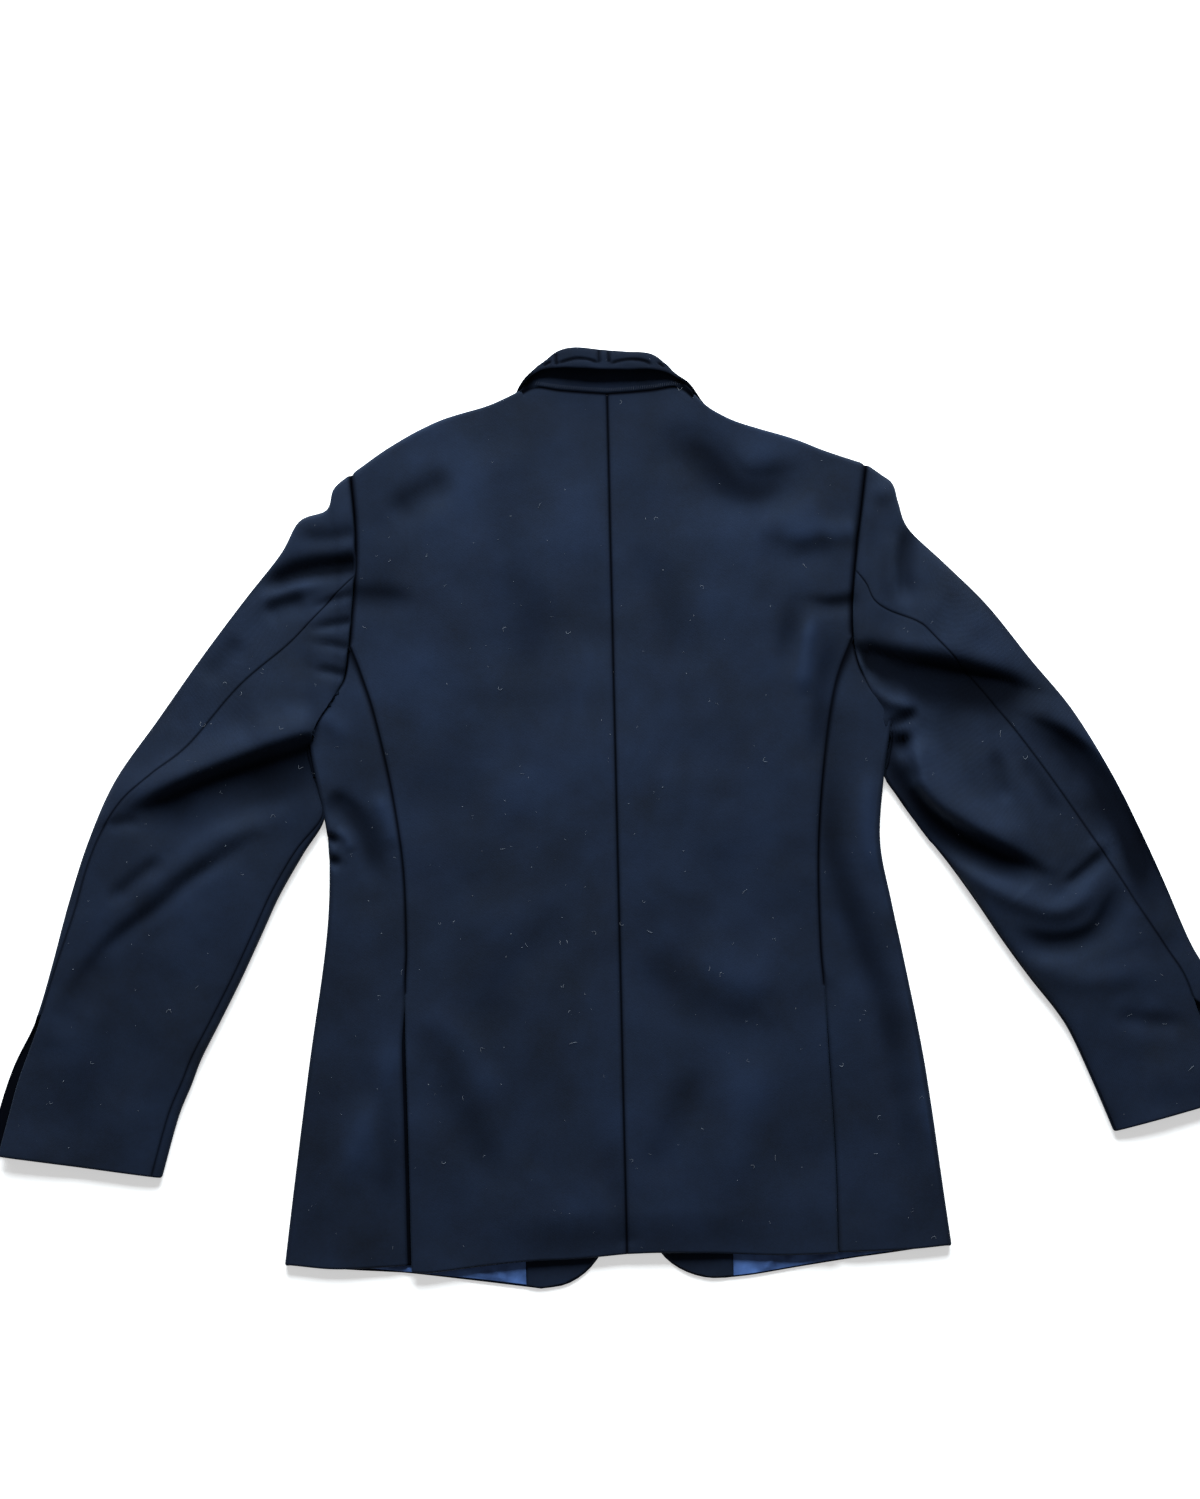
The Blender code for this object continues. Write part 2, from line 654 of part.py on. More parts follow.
def build_side(side):
    """A side panel, from the back seam over the fold at the body's side to the front."""
    lines = side.lines
    outline = sample(lines["side"], BODY_ROWS)
    inward = Vector((1.0 if side.side == "left" else -1.0, 0.0))
    leans, middles = [], []
    for k, point in enumerate(outline):
        near_armhole = ramp(k, len(outline) - 4, len(outline) - 1)
        lean = (-inward).lerp(side.underarm_lean, near_armhole).normalized()
        leans.append(lean)
        middles.append(point - lean * body_top(*point) / 2)
    across = side.body_armhole[PANEL_STATION:]
    middles[-1] = across[-1]
    outside = outline[0] - inward * 500
    upper = half_side(draw_in(side.back_seam, outside), across, middles, lines["side_hem"])
    lower = half_side(draw_in(side.front_seam, outside), across, middles, lines["under_hem"])
    spots = []
    for i, (above, below) in enumerate(zip(upper, lower)):
        vent = ramp(VENT_ROW + 1 - i, 0, 1)
        row = [body_spot(above[0] + inward * VENT_UNDERLAP, UP, sink=VENT_TUCK)]
        for point in above:
            near = ramp(abs(point.x - above[0].x), VENT_TUCK_REACH, 0.0)
            row.append(body_spot(point, UP, sink=VENT_TUCK * near * vent))
        for k in range(1, TURN_STEPS):
            angle = math.pi / 2 - math.pi * k / TURN_STEPS
            row.append(body_spot(above[-1], turned(leans[i], angle)))
        row += [body_spot(point, DOWN) for point in reversed(below)]
        spots.append(row)
    cloth(f"side_{side.side}", spots, keep=lambda i, j: j > 0 or i < VENT_ROW)


def half_side(seam, across, middles, hem):
    """The upper or the lower half of a side panel on plan, from its seam to the fold."""
    seam[-1] = across[0]
    hem = sample(hem, SIDE_COLUMNS)
    hem[0] = seam[0] = Vector((seam[0].x, hem[0].y))
    hem[-1] = middles[0]
    return patch(hem, across, seam, middles)


# ---------------------------------------------------------------- the sleeves


class Ring:
    """One ring of a sleeve, from its outer edge to its inner one."""

    def __init__(self, side, row, edge, elbow_run, last_row):
        outer, inner = Vector(row.outer), Vector(row.inner)
        self.plain = row.plain
        self.side = side
        self.first = self.plain == 0.0
        outward = Vector((-1.0 if side.side == "left" else 1.0, 0.0))
        if not self.first and inner.y > UNDERARM_END:
            inner = inner + outward * UNDERARM_GAP
        straight = (outer - inner).normalized()
        self.out_lean = side.shoulder_lean.lerp(straight, self.plain).normalized()
        square = Vector((edge.y, -edge.x)).normalized()
        if square.dot(outward) > 0:
            square = -square
        turn = min(self.plain * FOLD_TURN, 1.0)
        self.in_lean = side.underarm_lean.lerp(square, turn).normalized()
        self.height = SLEEVE_HEIGHT + (CUFF_HEIGHT - SLEEVE_HEIGHT) * last_row
        self.out_radius = self.top_at(outer) / 2
        self.quarter = self.out_radius * math.pi / 2
        in_radius = self.top_at(inner) / 2
        self.start = outer - self.out_lean * self.out_radius
        self.end = inner - self.in_lean * in_radius
        if self.first:
            self.start, self.end = side.sleeve_armhole[0], side.sleeve_armhole[-1]
        self.outer = outer
        self.length = (self.end - self.start).length
        self.front_seam = self.end - self.in_lean * (FRONT_SEAM_INSET - in_radius)
        self.elbow = self._elbow_arc(elbow_run)
        self.top_start = self.elbow if row.vent is None else row.vent

    def top_at(self, point):
        """The sleeve's height at a plan point of this ring."""
        return body_top(*point) * (1 - self.plain) + self.height * self.plain

    def across(self, share):
        """A plan point a share of the way from the outer fold to the inner one."""
        if not self.first:
            return self.start.lerp(self.end, share)
        if share in self.side.shares:
            return self.side.sleeve_armhole[self.side.shares.index(share)]
        return at(self.side.armhole_run, share)

    def _elbow_arc(self, run):
        """Where the elbow seam crosses, as an arc length from the outer edge."""
        steps = 48
        line = [self.outer] + [self.across(k / steps) for k in range(steps + 1)]
        travelled = lengths(line)
        for k in range(len(line) - 1):
            for a, b in zip(run, run[1:]):
                t = crossing(line[k], line[k + 1], a, b)
                if t is not None:
                    away = travelled[k] + t * (travelled[k + 1] - travelled[k])
                    radius = self.out_radius
                    if away >= radius:
                        return self.quarter + away - radius
                    return radius * math.acos((radius - away) / radius)
        return STRIP_STEP

    def from_outer(self, arc):
        """The spot at an arc length from the outer edge, over the top where positive."""
        if abs(arc) <= self.quarter:
            return self.spot(self.start, turned(self.out_lean, arc / self.out_radius))
        share = (abs(arc) - self.quarter) / self.length
        return self.spot(self.across(share), UP if arc > 0 else DOWN)

    def spot(self, point, lean):
        """A spot of this ring's cloth."""
        rise = fold_rise(point.x, point.y) * self.plain
        wall = WALL + padding(point.x, point.y) * (1 - self.plain) / 2
        return Spot(point.x, point.y, 0.0, self.top_at(point), lean, rise, wall)


    def face(self):
        """Plan points across the under sleeve, from the elbow seam to the front one."""
        if self.first:
            shares = self.side.shares[ELBOW_STATION:FRONT_STATION + 1]
            return [self.across(share) for share in shares]
        flat = max(self.elbow - self.quarter, 2 * STRIP_STEP)
        start = self.across(flat / self.length)
        steps = FRONT_STATION - ELBOW_STATION
        return [start.lerp(self.front_seam, share) for share in spread(0.0, 1.0, steps)]

    def top_sleeve(self, front_seam):
        """The top sleeve's spots, from the elbow seam round both folds to the front seam."""
        shares = self.side.shares
        if self.first:
            begin = self.quarter
            spots = [self.spot(self.across(share), UP) for share in shares[ELBOW_STATION::-1]]
            beneath = shares[1:]
        else:
            start, begin = self.top_start, self.quarter
            if start < self.quarter + STRIP_STEP:
                start = min(start, self.quarter)
                begin = start - STRIP_STEP
            spots = [self.from_outer(arc) for arc in spread(start, begin, ELBOW_STATION)]
            beneath = spread(0.0, 1.0, len(shares) - 1)[1:]
        spots += [self.from_outer(arc) for arc in spread(begin, -self.quarter, TURN_STEPS)[1:]]
        spots += [self.spot(self.across(share), DOWN) for share in beneath]
        for angle in spread(-math.pi / 2, math.pi / 2, TURN_STEPS)[1:]:
            spots.append(self.spot(self.across(1.0), turned(self.in_lean, angle)))
        spots.append(self.spot(front_seam, UP))
        return spots


def crossing(a, b, c, d):
    """How far along a-b the segment c-d crosses it, or None."""
    ab, cd, ac = b - a, d - c, c - a
    area = ab.x * cd.y - ab.y * cd.x
    if abs(area) < 1e-9:
        return None
    t = (ac.x * cd.y - ac.y * cd.x) / area
    u = (ac.x * ab.y - ac.y * ab.x) / area
    return t if 0 <= t <= 1 and 0 <= u <= 1 else None


def spread(start, end, steps):
    """Even steps from start to end, both included."""
    return [start + (end - start) * k / steps for k in range(steps + 1)]


def build_sleeve(side):
    """The two-piece sleeve: the top sleeve wraps both folds, the under sleeve faces up."""
    cuts = [Cut(*row) for row in SLEEVES[side.side]]
    elbow_run = smooth(ELBOW_SEAMS[side.side])
    last = len(cuts) - 1
    top_rows, under_rows = [], []
    for k, cut in enumerate(cuts):
        edge = Vector(cuts[min(k + 1, last)].inner) - Vector(cuts[max(k - 1, 0)].inner)
        ring = Ring(side, cut, edge, elbow_run, ramp(k, last - CUFF_ROWS, last))
        face = ring.face()
        top_rows.append(ring.top_sleeve(face[-1]))
        under = [ring.spot(point, UP) for point in face]
        if not ring.first and ring.elbow < ring.quarter:
            under[0] = ring.from_outer(ring.elbow)
        under_rows.append(under)
    shift = HALF_GAP if side.side == "left" else -HALF_GAP
    cloth(f"top_sleeve_{side.side}", part_spots(top_rows, -shift))
    cloth(f"under_sleeve_{side.side}", part_spots(under_rows, shift))


def part_spots(rows, distance):
    """Move the first long seam of a sleeve piece to its left and the last to its right."""
    moved = [list(row) for row in rows]
    columns = len(rows[0]) - 1
    for j, beside, shift in ((0, 1, distance), (columns, columns - 1, -distance)):
        line = [Vector((row[j].x, row[j].y)) for row in rows]
        for row, point, square in zip(moved, line, squares(line)):
            if math.hypot(row[beside].x - point.x, row[beside].y - point.y) > FLAT_STEP:
                place = point + square * shift
                row[j] = row[j]._replace(x=place.x, y=place.y)
    return moved


# ---------------------------------------------------------------- collar, lapels, inside


def build_stand(left, right):
    """The collar stand, flat beyond the neck seam up to the roll line."""
    seam = sample(left.lines["neck"], NECK_COLUMNS)[::-1]
    seam += sample(right.lines["neck"], NECK_COLUMNS)[1:]
    half = sample(STAND_ROLL, NECK_COLUMNS)
    roll = [Vector((-p.x, p.y)) for p in half[::-1]] + half[1:]
    seam = draw_in(seam, Vector((0.0, 300.0)))
    for end in (seam[0], seam[-1]):
        end.y += STAND_END_STEP
    pairs = []
    for k in range(STAND_ROWS + 1):
        line = []
        for a, b in zip(seam, roll):
            point = a.lerp(b, k / STAND_ROWS)
            start = body_top(a.x, a.y)
            top = start + (STAND_TOP - start) * k / STAND_ROWS
            line.append((Vector((*point, top)) * MM, Vector((*point, top - COLLAR_WALL)) * MM))
        pairs.append(line)
    loft_wall("collar_stand", pairs, "wool")


def build_leaf():
    """The collar leaf: sprung up behind the neck, then turned under both fronts."""
    half = [[Vector(point) for point in station] for station in LEAF_STATIONS]
    flip = [[Vector((-p.x, p.y, p.z)) for p in station] for station in half[:0:-1]]
    stations = [sample_station(station) for station in flip + half]
    last = len(stations) - 1
    pairs = []
    for k, station in enumerate(stations):
        before, after = stations[max(k - 1, 0)], stations[min(k + 1, last)]
        line = []
        for j, point in enumerate(station):
            along = after[j] - before[j]
            across = station[min(j + 1, len(station) - 1)] - station[max(j - 1, 0)]
            normal = along.cross(across).normalized() * (COLLAR_WALL / 2)
            line.append(((point + normal) * MM, (point - normal) * MM))
        pairs.append(line)
    loft_wall("collar_leaf", pairs, "wool")


def sample_station(station):
    """Five points across the leaf, bowed through its middle one."""
    return sample(station, 4)


def flat_piece(name, grid, bottom, wall, finish):
    """A flat piece at one height."""
    pairs = [
        [(Vector((p.x, p.y, bottom + wall)) * MM, Vector((p.x, p.y, bottom)) * MM) for p in line]
        for line in grid
    ]
    loft_wall(name, pairs, finish)


def build_lapel(side):
    """A lapel turned out under its front, from the gorge to the top button."""
    lines = LAPELS[side.side]
    grid = patch(sample(lines["gorge"], 3), sample(lines["foot"], 3),
                 sample(lines["roll"], 7), sample(lines["edge"], 7))
    flat_piece(f"lapel_{side.side}", grid, 0.0, LAPEL_WALL, "wool")


def build_inside(side):
    """The facing and the lining that show below the back hem."""
    shape = INSIDE[side.side]
    bottom = WALL + SEAM_GAP
    hem, edge = sample(shape["facing_hem"], 3), sample(shape["facing_edge"], 6)
    seam = [Vector((hem[0].x, hem[0].y + (STRIP_TOP - hem[0].y) * k / 6)) for k in range(7)]
    top = [seam[-1].lerp(edge[-1], k / 3) for k in range(4)]
    flat_piece(f"facing_{side.side}", patch(hem, top, seam, edge), bottom, FACING_WALL, "wool")
    hem = sample(shape["lining_hem"], 8)
    grid = [[Vector((p.x, p.y + (STRIP_TOP - p.y) * k / 2)) for p in hem] for k in range(3)]
    flat_piece(f"lining_{side.side}", grid, bottom, LINING_WALL, "lining")


def build_button(name, place):
    """A turned button with a rim round its dished face, laid face down."""
    profile = (
        (0.0, BUTTON_HEIGHT), (BUTTON_RADIUS - 1.2, BUTTON_HEIGHT), (BUTTON_RADIUS, 2.0),
        (BUTTON_RADIUS, 0.9), (BUTTON_RADIUS - 1.0, 0.0), (BUTTON_RADIUS - 2.4, 0.0),
        (BUTTON_RADIUS - 3.4, 0.8), (0.0, 0.8),
    )
    mesh = bpy.data.meshes.new(name)
    points = [(x * MM, 0.0, z * MM) for x, z in profile]
    mesh.from_pydata(points, [(k, k + 1) for k in range(len(points) - 1)], [])
    piece = make_mesh(name, mesh, "horn")
    piece.location = (place[0] * MM, place[1] * MM, 0.0)
    screw = piece.modifiers.new("turn", "SCREW")
    screw.steps = screw.render_steps = 24
    screw.use_merge_vertices = True
    screw.merge_threshold = 0.00005
    return piece


def centre_origin():
    """Move every piece so that the origin lies under the middle of the garment."""
    bpy.context.view_layer.update()
    low, high = Vector((1e9, 1e9, 1e9)), Vector((-1e9, -1e9, -1e9))
    for piece in BLAZER.objects:
        for vert in piece.data.vertices:
            place = piece.matrix_world @ vert.co
            low = Vector(map(min, low, place))
            high = Vector(map(max, high, place))
    middle = (low + high) / 2
    for piece in BLAZER.objects:
        piece.location.x -= middle.x
        piece.location.y -= middle.y
        piece.location.z -= low.z


for leftover in list(bpy.data.objects):
    bpy.data.objects.remove(leftover, do_unlink=True)
BLAZER = bpy.data.collections.new("blazer")
bpy.context.scene.collection.children.link(BLAZER)

SIDES = [Side("left"), Side("right")]
for half in SIDES:
    build_back(half)
    build_front(half)
    build_side(half)
    build_sleeve(half)
    build_lapel(half)
    build_inside(half)
build_stand(*SIDES)
build_leaf()
for button, spot in BUTTONS.items():
    build_button(button, spot)
centre_origin()
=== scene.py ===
"""A navy wool blazer laid face down on a pale floor, with its back to the viewer.

The plan is drawn in millimetres: +X to the viewer's right, +Y towards the collar, with the
nape seam at (0, 0), and +Z up from the floor. Every cloth piece is a thin closed shell. Its
outer face is a grid of points over the plan, and its creases are soft ridges and troughs
laid along paths on that plan.
"""

from __future__ import annotations

import logging
import math
from dataclasses import dataclass, field
from enum import Enum

import bmesh
import bpy
import numpy as np
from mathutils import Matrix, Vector
from mathutils.bvhtree import BVHTree


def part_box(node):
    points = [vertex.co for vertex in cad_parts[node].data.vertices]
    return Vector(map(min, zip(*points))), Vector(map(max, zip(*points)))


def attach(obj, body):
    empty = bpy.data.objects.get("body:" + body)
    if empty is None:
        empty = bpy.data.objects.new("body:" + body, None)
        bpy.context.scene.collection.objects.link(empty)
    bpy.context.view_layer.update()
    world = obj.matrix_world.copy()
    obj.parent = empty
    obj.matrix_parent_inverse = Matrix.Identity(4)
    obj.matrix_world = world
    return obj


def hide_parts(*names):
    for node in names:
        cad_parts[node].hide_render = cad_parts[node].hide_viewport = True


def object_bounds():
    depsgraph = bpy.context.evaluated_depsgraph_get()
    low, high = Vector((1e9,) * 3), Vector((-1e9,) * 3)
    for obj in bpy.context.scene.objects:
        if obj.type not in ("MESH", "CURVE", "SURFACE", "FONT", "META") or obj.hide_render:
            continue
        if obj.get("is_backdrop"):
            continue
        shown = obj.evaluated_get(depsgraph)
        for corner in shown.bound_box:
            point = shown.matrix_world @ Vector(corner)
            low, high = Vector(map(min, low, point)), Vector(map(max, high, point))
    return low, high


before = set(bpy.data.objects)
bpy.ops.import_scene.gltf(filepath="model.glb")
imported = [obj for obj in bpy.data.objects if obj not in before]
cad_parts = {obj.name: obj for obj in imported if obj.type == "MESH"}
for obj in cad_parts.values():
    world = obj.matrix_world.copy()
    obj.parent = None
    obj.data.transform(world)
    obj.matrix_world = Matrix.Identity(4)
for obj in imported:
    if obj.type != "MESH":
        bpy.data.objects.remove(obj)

LOG = logging.getLogger("blazer")
MM = 0.001
Array = np.ndarray
Point = tuple[float, float]
Path = tuple[Point, ...]

BUTTONS = {"button_upper": (0.0, -408.0), "button_lower": (0.0, -508.0)}


# ---------------------------------------------------------------- curves on the plan


def smooth(points: Path | Array, steps: int = 14) -> Array:
    """Run a smooth line through points.

    Args:
        points: the points that the line keeps.
        steps: how many short lines join one point to the next.

    Returns:
        The points of the line, one row each.
    """
    pts = np.asarray(points, float)
    ends = np.vstack([2 * pts[0] - pts[1], pts, 2 * pts[-1] - pts[-2]])
    t = (np.arange(1, steps + 1) / steps)[:, None]
    run = [pts[:1]]
    for before, start, end, after in zip(ends, ends[1:], ends[2:], ends[3:]):
        run.append(0.5 * (2 * start + (end - before) * t
                          + (2 * before - 5 * start + 4 * end - after) * t**2
                          + (3 * start - before - 3 * end + after) * t**3))
    return np.vstack(run)


def travelled(run: Array) -> Array:
    """Return the length along a run of points, up to each of them."""
    return np.concatenate([[0.0], np.cumsum(np.linalg.norm(np.diff(run, axis=0), axis=1))])


def resample(run: Array, shares: Array) -> Array:
    """Return the points at shares of the way along a run.

    Args:
        run: the points of a line.
        shares: shares of its length, from 0 to 1.

    Returns:
        One point for each share.
    """
    along = travelled(run)
    want = np.clip(shares, 0.0, 1.0) * along[-1]
    return np.stack([np.interp(want, along, run[:, k]) for k in range(run.shape[1])], axis=-1)


def share_of(run: Array, point: Point | Array) -> float:
    """Return the share of the way along a run of its nearest point to the one given.

    Args:
        run: the points of a line.
        point: the point to be near.

    Returns:
        The share, from 0 to 1.
    """
    along = travelled(run)
    nearest = np.argmin(np.linalg.norm(run - np.asarray(point, float), axis=1))
    return float(along[nearest] / along[-1])


def unit(vectors: Array) -> Array:
    """Return vectors at length one."""
    return vectors / np.maximum(np.linalg.norm(vectors, axis=-1, keepdims=True), 1e-9)


def ramp(value: Array, start: float, end: float) -> Array:
    """Rise from 0 at start to 1 at end, with a soft slope between."""
    t = np.clip((value - start) / (end - start), 0.0, 1.0)
    return t * t * (3 - 2 * t)


def spaced(length: float, step: float, near: tuple[float, ...] = (0.45, 1.1, 2.2)) -> Array:
    """Space shares along an edge, closer together at both of its ends.

    Args:
        length: the length of the edge, in millimetres.
        step: the spacing in the middle.
        near: the distances of the first points from each end.

    Returns:
        Shares from 0 to 1.
    """
    first = np.array([0.0, *near]) / length
    start = first[-1]
    count = max(2, round(length * (1 - 2 * start) / step))
    middle = np.linspace(start, 1 - start, count + 1)
    return np.concatenate([first[:-1], middle, 1 - first[:-1][::-1]])


def patch(bottom: Array, top: Array, left: Array, right: Array, u: Array, v: Array) -> Array:
    """Fill the space between four edges with a grid of plan points.

    Args:
        bottom: the edge of the first row, one point for each share of u.
        top: the edge of the last row.
        left: the edge of the first column, one point for each share of v.
        right: the edge of the last column.
        u: shares across.
        v: shares up.

    Returns:
        An array of rows, columns and two coordinates.
    """
    u, v = u[None, :, None], v[:, None, None]
    return (bottom[None] * (1 - v) + top[None] * v + left[:, None] * (1 - u)
            + right[:, None] * u - bottom[0] * (1 - u) * (1 - v) - bottom[-1] * u * (1 - v)
            - top[0] * (1 - u) * v - top[-1] * u * v)


def draw_in(run: Array, inside: Point, distance: float) -> Array:
    """Move a run of plan points square to itself towards a point inside the piece.

    Args:
        run: the points of a line.
        inside: a point on the side to move to.
        distance: how far to move.

    Returns:
        The moved points.
    """
    along = np.gradient(run, axis=0)
    square = unit(np.stack([-along[:, 1], along[:, 0]], axis=1))
    towards = np.sign(np.sum(square * (np.asarray(inside) - run), axis=1))[:, None]
    return run + square * towards * distance


# ---------------------------------------------------------------- creases


TO_COLLAR = np.array([-0.35, 0.94])


@dataclass(frozen=True)
class Fold:
    """A soft ridge or trough on the plan, in millimetres.

    Its path is the middle of the slope towards the collar: the lit side of a ridge, or the
    shaded side of a trough. The crest or the bottom lies beyond it.
    """

    path: Path
    height: float               # above 0 for a ridge, below 0 for a trough
    near: float                 # its half width on the side towards the collar
    far: float                  # and on the other side
    fade: Point = (0.3, 0.3)    # the shares of its length over which each end dies away
    beyond: float = 0.7         # how far beyond its path the fold lies, in half widths

    def lift(self, x: Array, y: Array) -> Array:
        """Return how far the fold lifts the cloth at plan points.

        Args:
            x: plan coordinates across.
            y: plan coordinates up.

        Returns:
            Lifts in millimetres, below 0 in a trough.
        """
        run = smooth(self.path, 6)
        chord = run[-1] - run[0]
        square = unit(np.array([-chord[1], chord[0]]))
        run = run - square * np.sign(square @ TO_COLLAR) * self.beyond * self.near
        along = travelled(run)
        best = np.full(x.shape, 1e9)
        share, side = np.zeros(x.shape), np.ones(x.shape)
        reach = 3.2 * max(self.near, self.far)
        low, high = run.min(axis=0) - reach, run.max(axis=0) + reach
        mask = (x > low[0]) & (x < high[0]) & (y > low[1]) & (y < high[1])
        if not mask.any():
            return share
        px, py = x[mask], y[mask]
        b, s, d = best[mask], share[mask], side[mask]
        for k, (start, end) in enumerate(zip(run, run[1:])):
            step = end - start
            size = float(step @ step) or 1e-9
            t = np.clip(((px - start[0]) * step[0] + (py - start[1]) * step[1]) / size, 0, 1)
            dx, dy = px - start[0] - t * step[0], py - start[1] - t * step[1]
            away = np.hypot(dx, dy)
            closer = away < b
            b = np.where(closer, away, b)
            s = np.where(closer, along[k] + t * (along[k + 1] - along[k]), s)
            d = np.where(closer, dx * TO_COLLAR[0] + dy * TO_COLLAR[1], d)
        s = s / along[-1]
        # one smooth change of width across the crest
        blend = 0.5 + 0.5 * np.clip(d / (0.5 * min(self.near, self.far)), -1, 1)
        width = self.far + (self.near - self.far) * blend
        ends = np.ones_like(s)
        if self.fade[0]:
            ends *= 0.12 + 0.88 * ramp(s, 0.0, self.fade[0])
        if self.fade[1]:
            ends *= 0.12 + 0.88 * ramp(s, 1.0, 1.0 - self.fade[1])
        out = np.zeros(x.shape)
        out[mask] = self.height * ends * np.exp(-((b / width) ** 2))
        return out


@dataclass(frozen=True)
class Ripple:
    """A soft unevenness all over a piece, in millimetres."""

    seed: int
    size: float
    height: float
    stretch: Point = (1.0, 1.0)

    def lift(self, x: Array, y: Array) -> Array:
        """Return how far the unevenness lifts the cloth at plan points.

        Args:
            x: plan coordinates across.
            y: plan coordinates up.

        Returns:
            Lifts in millimetres.
        """
        grid = np.random.default_rng(self.seed).uniform(-1, 1, (64, 64))
        gx = x / (self.size * self.stretch[0]) + 31.5
        gy = y / (self.size * self.stretch[1]) + 31.5
        ix, iy = np.floor(gx).astype(int), np.floor(gy).astype(int)
        fx, fy = gx - ix, gy - iy
        fx, fy = fx * fx * (3 - 2 * fx), fy * fy * (3 - 2 * fy)
        corner = [grid[(iy + b) % 64, (ix + a) % 64] for b in (0, 1) for a in (0, 1)]
        low = corner[0] * (1 - fx) + corner[1] * fx
        high = corner[2] * (1 - fx) + corner[3] * fx
        return self.height * (low * (1 - fy) + high * fy)


@dataclass(frozen=True)
class Relief:
    """The folds and the unevenness of a piece."""

    parts: tuple[Fold | Ripple, ...]

    def lift(self, x: Array, y: Array) -> Array:
        """Return how far the whole relief lifts the cloth at plan points."""
        total = np.zeros(np.shape(x))
        for part in self.parts:
            total = total + part.lift(x, y)
        return total


# ---------------------------------------------------------------- cloth shells


SIDES = ("left", "right", "top", "bottom")
LEAST_WALL = 0.6        # what the dip at an edge leaves of the wall
ON_EDGE = 0.01          # points nearer an edge than this are on it


class Edge(Enum):
    """How an edge of a cloth piece is finished: its dip, its reach, its painted shade and its
    push.
    """

    # Painted shade: the third value darkens the cloth's colour along each seam or edge, where
    # shade would fall in its groove.
    SEWN = (1.0, 1.1, 1.0, 0.03)
    FINE = (0.6, 0.8, 0.7, 0.03)
    ARMHOLE = (1.6, 2.1, 1.0, 0.03)
    TURNED = (0.55, 0.6, 0.22, 0.4)
    SHARP = (0.3, 0.35, 0.15, 0.15)
    FOLD = (0.0, 1.0, 0.0, 0.0)

    @property
    def dip(self) -> float:
        """How far the outer face drops at the edge."""
        return self.value[0]

    @property
    def reach(self) -> float:
        """How far from the edge the drop is felt."""
        return self.value[1]

    @property
    def shade(self) -> float:
        """How dark the painted shade along the edge is."""
        return self.value[2]

    @property
    def line(self) -> float:
        """How wide the painted shade along the edge is."""
        return 0.3 + 1.05 * self.reach

    @property
    def push(self) -> float:
        """How far the middle of the rim bulges."""
        return self.value[3]


def margins(points: Array) -> dict[str, Array]:
    """Return each grid point's distance from the four edges of its grid.

    Args:
        points: rows, columns and coordinates.

    Returns:
        The distances, by the name of the edge.
    """
    across = np.linalg.norm(np.diff(points, axis=1), axis=2)
    up = np.linalg.norm(np.diff(points, axis=0), axis=2)
    left = np.pad(np.cumsum(across, axis=1), ((0, 0), (1, 0)))
    bottom = np.pad(np.cumsum(up, axis=0), ((1, 0), (0, 0)))
    return {"left": left, "right": left[:, -1:] - left,
            "bottom": bottom, "top": bottom[-1:] - bottom}


def normals_of(points: Array) -> Array:
    """Return the square direction of a grid: that of its columns crossed with its rows."""
    return unit(np.cross(np.gradient(points, axis=1), np.gradient(points, axis=0)))


